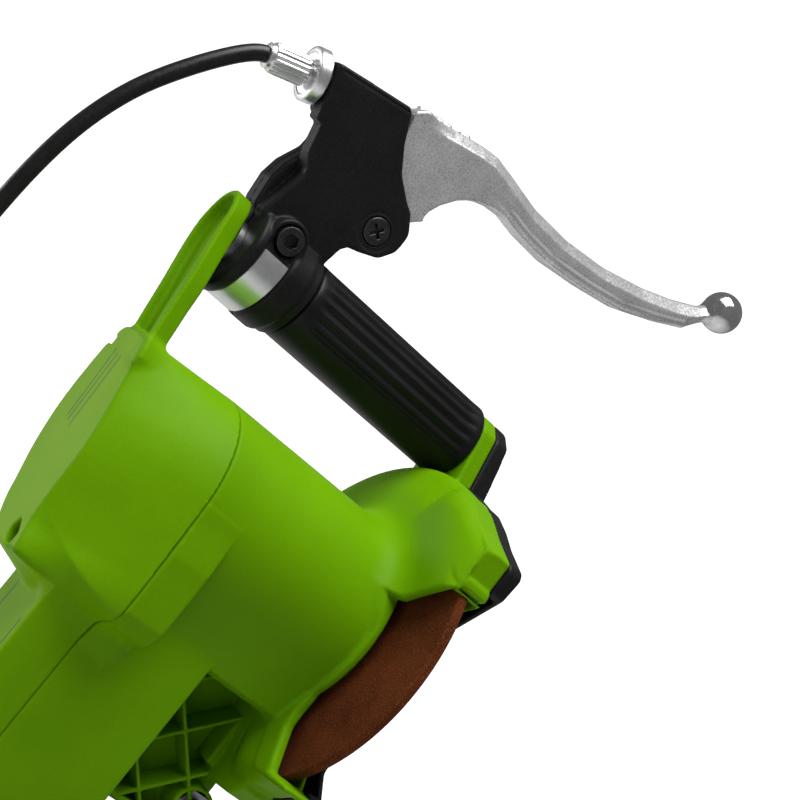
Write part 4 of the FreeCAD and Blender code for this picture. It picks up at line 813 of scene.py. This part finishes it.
bk_lip = [(-103.2, -174.0, 1), (-101.1, -172.5), (-95.1, -161.8, 6), (-87.9, -152.5, 8), (-78.8, -146.2, 8), (-74.2, -143.8, 4), (-68.5, -136.6, 7), (-68.5, -128.3, 7), (-72.9, -121.6, 5), (-81.0, -118.2, 5), (-86.0, -116.7), (-88.1, -113.9, 3), (-91.0, -95.9)]
bkp = fillets([(-137.3, -166.8, 1.5)] + bk_lip + [(-100.8, -93.4), (-119.1, -99.5), (-123.9, -104.8, 3), (-119.9, -127.1, 4), (-124.5, -133.2, 5), (-127.6, -144.9, 1.5), (-130.5, -144.6, 1)])
bkr = fillets([(-132.0, -166.8, 2)] + bk_lip + [(-100.8, -93.4), (-119.1, -99.5), (-125.0, -107.0, 4), (-126.4, -118, 5), (-125.2, -126.0, 5), (-121.0, -136.0, 5), (-120.5, -146.0, 1), (-128.0, -150.0, 1)])
D = np.minimum(g.ext("z", bkp, 17.7, 27.0, 1.3), g.ext("z", bkr, 26.0, 39.7, 1.3))
rx = np.sqrt((g.A - f32(GA)) ** 2 + (g.Z - f32(GZ)) ** 2)
cl = slab(rx - f32(19.0), g.X, -121.4, -88.0, 0.8)
cl = sU(cl, slab(rx - f32(20.8), g.X, -121.4, -116.5, 1.6), 0.8)
cl = sU(cl, slab(rx - f32(20.8), g.X, -103.8, -92.0, 2.2), 0.8)
D = sU(D, cl, 0.9)
boss = np.maximum(along(g, -16, 0.6, 10.4, 0.8), g.plane((-0.2066, -0.9784, 0.0), (-137.3, -166.6, 0.0)))
D = sU(D, np.maximum(boss, g.box(-160, -110, -200, -120, 16, 42)), 1.2)
slot_ = g.ext("z", fillets([(-101.3, -193.3), (-101.3, -162.7, 4), (-93.1, -145.3, 4), (-93.1, -120.9, 4), (-53.9, -113.7), (-48.8, -193.3)]), 22.4, 35.0)
D = sC(D, slot_, 0.7)
D = np.maximum(D, -slab(rx - f32(20.45), g.X, -116.5, -103.8))
D = np.minimum(D, slab(rx - f32(19.0), g.X, -117, -103))
D = sU(D, g.cyl("z", -110.0, -102.0, 8.4, 11.2, 20.0, 0.9), 0.8)
D = sC(D, g.cyl("z", -110.0, -102.0, 6.3, 5, 13.2), 0.5)
D = np.maximum(D, -slab(rx - f32(9.56), g.X, -150, -60))
D = np.maximum(D, -slab(rx - f32(18.3), g.X, -87.6, -60))
D = sC(D, g.cyl("z", LX, LA, 6.05, 5, 19.8), 0.6)
ring_ = np.abs(np.sqrt((g.X - f32(LX)) ** 2 + (g.A - f32(LA)) ** 2) - f32(7.6)) - f32(0.55)
D = sC(D, slab(ring_, g.Z, 5, 18.15), 0.5)
D = np.maximum(D, -g.cyl("z", LX, LA, 4.1, 15, 25))
D = np.maximum(D, -g.cyl("z", LX, LA, 2.55, 30, 45))
D = np.maximum(D, -g.cyl("z", LX, LA, 7.0, 34.9, 36.9))
D = np.maximum(D, -along(g, -14, 5, 4.05))
D = np.maximum(D, -along(g, -34, 2, 1.4))
# parting line round the edge
edge = g.P("z", bkp)
D = sC(D, np.maximum(np.abs(g.Z - f32(27.2)) - f32(0.2), -(edge + f32(0.6))), 0.4)
edge = g.P("z", bkr)
D = sC(D, np.maximum(np.abs(g.Z - f32(33.6)) - f32(0.2), -(edge + f32(0.6))), 0.4)
tl = (g.X + f32(137.3)) * f32(0.2066) + (g.A + f32(166.8)) * f32(0.9784)
D = sC(D, np.maximum(np.maximum(np.abs(tl - f32(2.1)) - f32(0.32), g.Z - f32(18.1)), g.box(-134.0, -102.5, -190, -140, 10, 20)), 0.25)
bracket = piece("lever_bracket_body", D, g, ["black_plastic"], 2)
put(bracket, "head", "black_plastic", "lever_bracket")

# ---------------------------------------------------------------- brake lever
lvp = fillets([(-94.1, -179.4, 1.2), (-82.4, -181.4), (-74.8, -183.5), (-63.0, -186.3), (-55.4, -187.4), (-44.7, -186.1), (-26.9, -183.5), (-6.0, -183.7), (17.3, -187.0), (38.6, -192.9), (56.3, -199.6), (68.5, -205.5), (76.6, -209.8, 1), (75.5, -203.0, 1), (67.0, -192.6), (52.6, -185.3), (34.1, -177.6), (13.7, -173.1), (-7.7, -169.7), (-25.1, -169.7), (-36.5, -171.0), (-43.7, -170.0), (-50.7, -167.6), (-56.2, -164.5), (-59.6, -161.5), (-64.0, -155.2), (-66.0, -150.5), (-66.3, -147.6), (-65.5, -145.6, 0.4), (-71.3, -140.2), (-72.2, -129.0, 6), (-81.1, -120.4, 6), (-89.5, -129.0, 6), (-90.1, -142.3), (-93.6, -157.6), (-98.3, -175.6, 1.2)])
top_run = [(-94.1, -179.4), (-82.4, -181.4), (-74.8, -183.5), (-63.0, -186.3), (-55.4, -187.4), (-44.7, -186.1), (-26.9, -183.5), (-6.0, -183.7), (17.3, -187.0), (38.6, -192.9), (56.3, -199.6), (68.5, -205.5), (76.6, -209.8)]
g = Grid((-100, -222, 18), (91, -117, 40), 0.62)
d2 = g.P("z", lvp)
D = slab(d2, g.Z, 22.9, 34.5, 0.9)
soft = sI(slab(d2, g.Z, 22.9, 34.5, 0.9), (d2 + f32(22.9) - g.Z + f32(4.6)) * f32(0.7071), 0.5)
tr = spline(top_run, 3, closed=False)
band = poly([(p[0], p[1] + 11.0) for p in tr] + [(p[0], p[1] - 30.0) for p in tr[::-1]], g.X, g.A)
blend_t = np.clip(0.5 - band / 4.0, 0, 1) * np.clip((g.X + 92.0) / 14.0, 0, 1)
D = lerp(D, soft, blend_t)
D = sU(D, np.sqrt((g.X - f32(80.3)) ** 2 + (g.A + f32(211.4)) ** 2 + (g.Z - f32(GZ)) ** 2) - f32(9.35), 3.5)
# far cheek, standing a little proud behind the lever's back
D = sU(D, g.ext("z", fillets([(-94.9, -180.6, 0.8), (-77.9, -184.0, 0.8), (-77.0, -178.0), (-92.0, -174.0)]), 31.0, 34.5, 0.6), 0.5)
D = sU(D, g.ext("z", fillets([(-73.6, -185.0, 0.8), (-68.9, -186.6, 0.8), (-68.0, -182.0), (-74.0, -181.0)]), 31.0, 34.5, 0.6), 0.5)
D = np.maximum(D, -g.cyl("z", LX, LA, 4.05, 15, 40))
D = np.maximum(D, -g.cyl("z", -90.1, -150.4, 2.4, 15, 40))


def lever_mat(c):
    k = np.zeros(len(c), np.int32)
    k[np.linalg.norm(c - np.array([80.3, -211.4, GZ]), axis=1) < 10.2] = 1
    return k


lever = piece("brake_lever_cast", D, g, ["cast_alloy", "polished_alloy"], 2, lever_mat)
put(lever, "lever", "cast_alloy", "brake_lever")


# ---------------------------------------------------------------- handle hardware
def on_adjuster(name, prof, mats, n=120, fn=None, midx=None, sharp=35):
    """A body turned about the cable adjuster's axis: prof is (s, r) round the closed section."""
    V, F = [], []
    k = len(prof)
    for i in range(n):
        th = 2 * math.pi * i / n
        for j, (s, r) in enumerate(prof):
            q_ = r if fn is None else fn(s, r, th, j)
            c = AD0 + DU * s + DN * q_ * math.cos(th)
            V.append((c[0], c[1], GZ + q_ * math.sin(th)))
    for i in range(n):
        for j in range(k):
            F.append([i * k + j, i * k + (j + 1) % k, ((i + 1) % n) * k + (j + 1) % k, ((i + 1) % n) * k + j])
    mi = None if midx is None else [midx(f[0] % k) for f in F]
    return add_mesh(name, V, F, mats, mi, sharp=sharp)


def knurl(s, r, th, j):
    if r < 5.5 or not 9.0 < s < 23.0:
        return r
    return r - 0.5 * (0.5 - 0.5 * math.cos(th * 18)) ** 1.2


ap = [(-13.5, 1.45), (-13.5, 4.0), (8.2, 4.0), (8.2, 5.3), (8.8, 6.0), (9.3, 6.2), (9.9, 6.2), (15.0, 6.2), (20.4, 6.2), (22.6, 6.1), (23.4, 5.7), (23.6, 5.2), (24.0, 5.0), (24.6, 5.0), (25.0, 5.1), (DL - 0.6, 5.1), (DL - 0.35, 4.7), (DL - 0.35, 1.45)]
adj = on_adjuster("adjuster_barrel_knurled", ap, ["bright_steel"], 192, fn=knurl)
put(adj, "head", "bright_steel", "adjuster_barrel")
lp_ = [(1.85, 4.1), (1.85, 10.7), (2.35, 11.15), (6.6, 11.15), (7.1, 10.8), (7.3, 10.2), (7.3, 8.9), (6.9, 8.4), (6.9, 4.1)]
ring = on_adjuster("lock_ring_turned", lp_, ["bright_steel"], 144)
put(ring, "head", "bright_steel", "lock_ring")

# chrome band, rolled edges
bp = [(-116.4, 19.07), (-116.4, 20.0), (-116.1, 20.3), (-104.2, 20.3), (-103.9, 20.0), (-103.9, 19.07)]
V, F = [], []
n, k = 120, len(bp)
a_s, a_e = math.radians(-104.5), math.radians(176.0)
for i in range(n + 1):
    th = a_s + (a_e - a_s) * i / n
    for x, r in bp:
        V.append((x, GA + r * math.cos(th), GZ + r * math.sin(th)))
for i in range(n):
    for j in range(k):
        F.append([i * k + j, (i + 1) * k + j, (i + 1) * k + (j + 1) % k, i * k + (j + 1) % k])
F.append(list(range(k)))
F.append([n * k + j for j in range(k)][::-1])
band_ob = add_mesh("clamp_band_chrome", V, F, ["bright_steel"], sharp=30)
put(band_ob, "head", "bright_steel", "clamp_band")

# socket-head clamp bolt with a knurled rim
g = Grid((-116.6, -108.6, 8.6), (-103.4, -95.4, 13.6), 0.18)
rb = np.sqrt((g.X + f32(110.0)) ** 2 + (g.A + f32(102.0)) ** 2)
thb = np.arctan2(g.A + f32(102.0), g.X + f32(110.0))
D = slab(rb - f32(5.78) + 0.12 * np.cos(thb * 36), g.Z, 9.45, 13.15, 0.5)
hexp = [(-110.0 + 3.2 * math.cos(math.radians(60 * i)), -102.0 + 3.2 * math.sin(math.radians(60 * i))) for i in range(6)]
D = sC(D, g.ext("z", hexp, 5, 12.2), 0.25)
put(piece("clamp_bolt_socket", D, g, ["dark_steel"], 1), "head", "dark_steel", "clamp_bolt")

# pivot screw with a cross recess
g = Grid((LX - 6.6, LA - 6.6, 16.8), (LX + 6.6, LA + 6.6, 40), 0.2)
rp_ = np.sqrt((g.X - f32(LX)) ** 2 + (g.A - f32(LA)) ** 2)
dome = slab(rp_ - f32(5.8), g.Z, 17.4, 19.7, 0.7)
D = np.minimum(dome, slab(rp_ - f32(4.0), g.Z, 19.6, 34.7, 0.2))
D = np.minimum(D, slab(rp_ - f32(2.5), g.Z, 34.6, 39.2, 0.3))
c45, s45 = math.cos(math.radians(38)), math.sin(math.radians(38))
ux = (g.X - f32(LX)) * f32(c45) + (g.A - f32(LA)) * f32(s45)
uy = -(g.X - f32(LX)) * f32(s45) + (g.A - f32(LA)) * f32(c45)
tap = (g.Z - f32(17.4)) * f32(0.55)
cross = np.minimum(np.maximum(np.abs(ux) - (f32(3.3) - tap), np.abs(uy) - f32(0.62)), np.maximum(np.abs(uy) - (f32(3.3) - tap), np.abs(ux) - f32(0.62)))
D = sC(D, np.maximum(cross, g.Z - f32(19.3)), 0.25)
put(piece("pivot_screw_cross", D, g, ["dark_steel"], 1), "head", "dark_steel", "pivot_screw")


# ---------------------------------------------------------------- floor, light
def emit_floor():
    mt = bpy.data.materials.new("studio_floor")
    mt.use_nodes = True
    nt = mt.node_tree
    nt.nodes.clear()
    out_ = nt.nodes.new("ShaderNodeOutputMaterial")
    di = nt.nodes.new("ShaderNodeBsdfDiffuse")
    di.inputs["Color"].default_value = (0.86, 0.86, 0.86, 1)
    em = nt.nodes.new("ShaderNodeEmission")
    em.inputs["Color"].default_value = (1, 1, 1, 1)
    em.inputs["Strength"].default_value = 1.25
    lp = nt.nodes.new("ShaderNodeLightPath")
    mu = nt.nodes.new("ShaderNodeMath")
    mu.operation = "MULTIPLY"
    mu.inputs[1].default_value = 1.0
    nt.links.new(lp.outputs["Is Camera Ray"], mu.inputs[0])
    mx = nt.nodes.new("ShaderNodeMixShader")
    nt.links.new(mu.outputs[0], mx.inputs[0])
    nt.links.new(di.outputs[0], mx.inputs[1])
    nt.links.new(em.outputs[0], mx.inputs[2])
    nt.links.new(mx.outputs[0], out_.inputs["Surface"])
    return mt


me = bpy.data.meshes.new("studio_floor")
me.from_pydata([(-6, -6, 0), (6, -6, 0), (6, 6, 0), (-6, 6, 0)], [], [[0, 1, 2, 3]])
me.materials.append(emit_floor())
floor = bpy.data.objects.new("studio_floor", me)
floor.location.z = -0.0004
bpy.context.scene.collection.objects.link(floor)

world = bpy.data.worlds.new("studio")
bpy.context.scene.world = world
world.use_nodes = True
nt = world.node_tree
bg = nt.nodes["Background"]
bg.inputs["Color"].default_value = (1, 1, 1, 1)
lp = nt.nodes.new("ShaderNodeLightPath")
mm = nt.nodes.new("ShaderNodeMapRange")
mm.inputs["From Min"].default_value, mm.inputs["From Max"].default_value = 0, 1
mm.inputs["To Min"].default_value, mm.inputs["To Max"].default_value = 0.185, 1.25
nt.links.new(lp.outputs["Is Camera Ray"], mm.inputs["Value"])
nt.links.new(mm.outputs["Result"], bg.inputs["Strength"])
try:
    bpy.context.scene.view_settings.view_transform = "Standard"
    bpy.context.scene.view_settings.look = "None"
except TypeError:
    pass

RIGHT, DOWN, FWD = Wd(CAM_R[0]), Wd(CAM_R[1]), Wd(CAM_R[2])
TARGET = Vector(W([(-60, -40, 10)])[0])


def area(name, r, u, b, dist, size, power, col=(1, 1, 1)):
    """A soft box placed right, up and towards the camera from the head."""
    d = (RIGHT * r - DOWN * u - FWD * b).normalized()
    L = bpy.data.lights.new(name, "AREA")
    L.shape = "RECTANGLE"
    L.size, L.size_y = size, size
    L.energy = power
    L.color = col
    o = bpy.data.objects.new(name, L)
    o.location = TARGET + d * dist
    o.rotation_euler = (-d).to_track_quat("-Z", "Y").to_euler()
    bpy.context.scene.collection.objects.link(o)
    return o


area("key_light", 0.62, 0.95, 0.30, 1.2, 0.9, 22.0)
area("left_light", -1.0, 0.50, -0.30, 1.1, 0.6, 5.4)

bpy.context.view_layer.update()
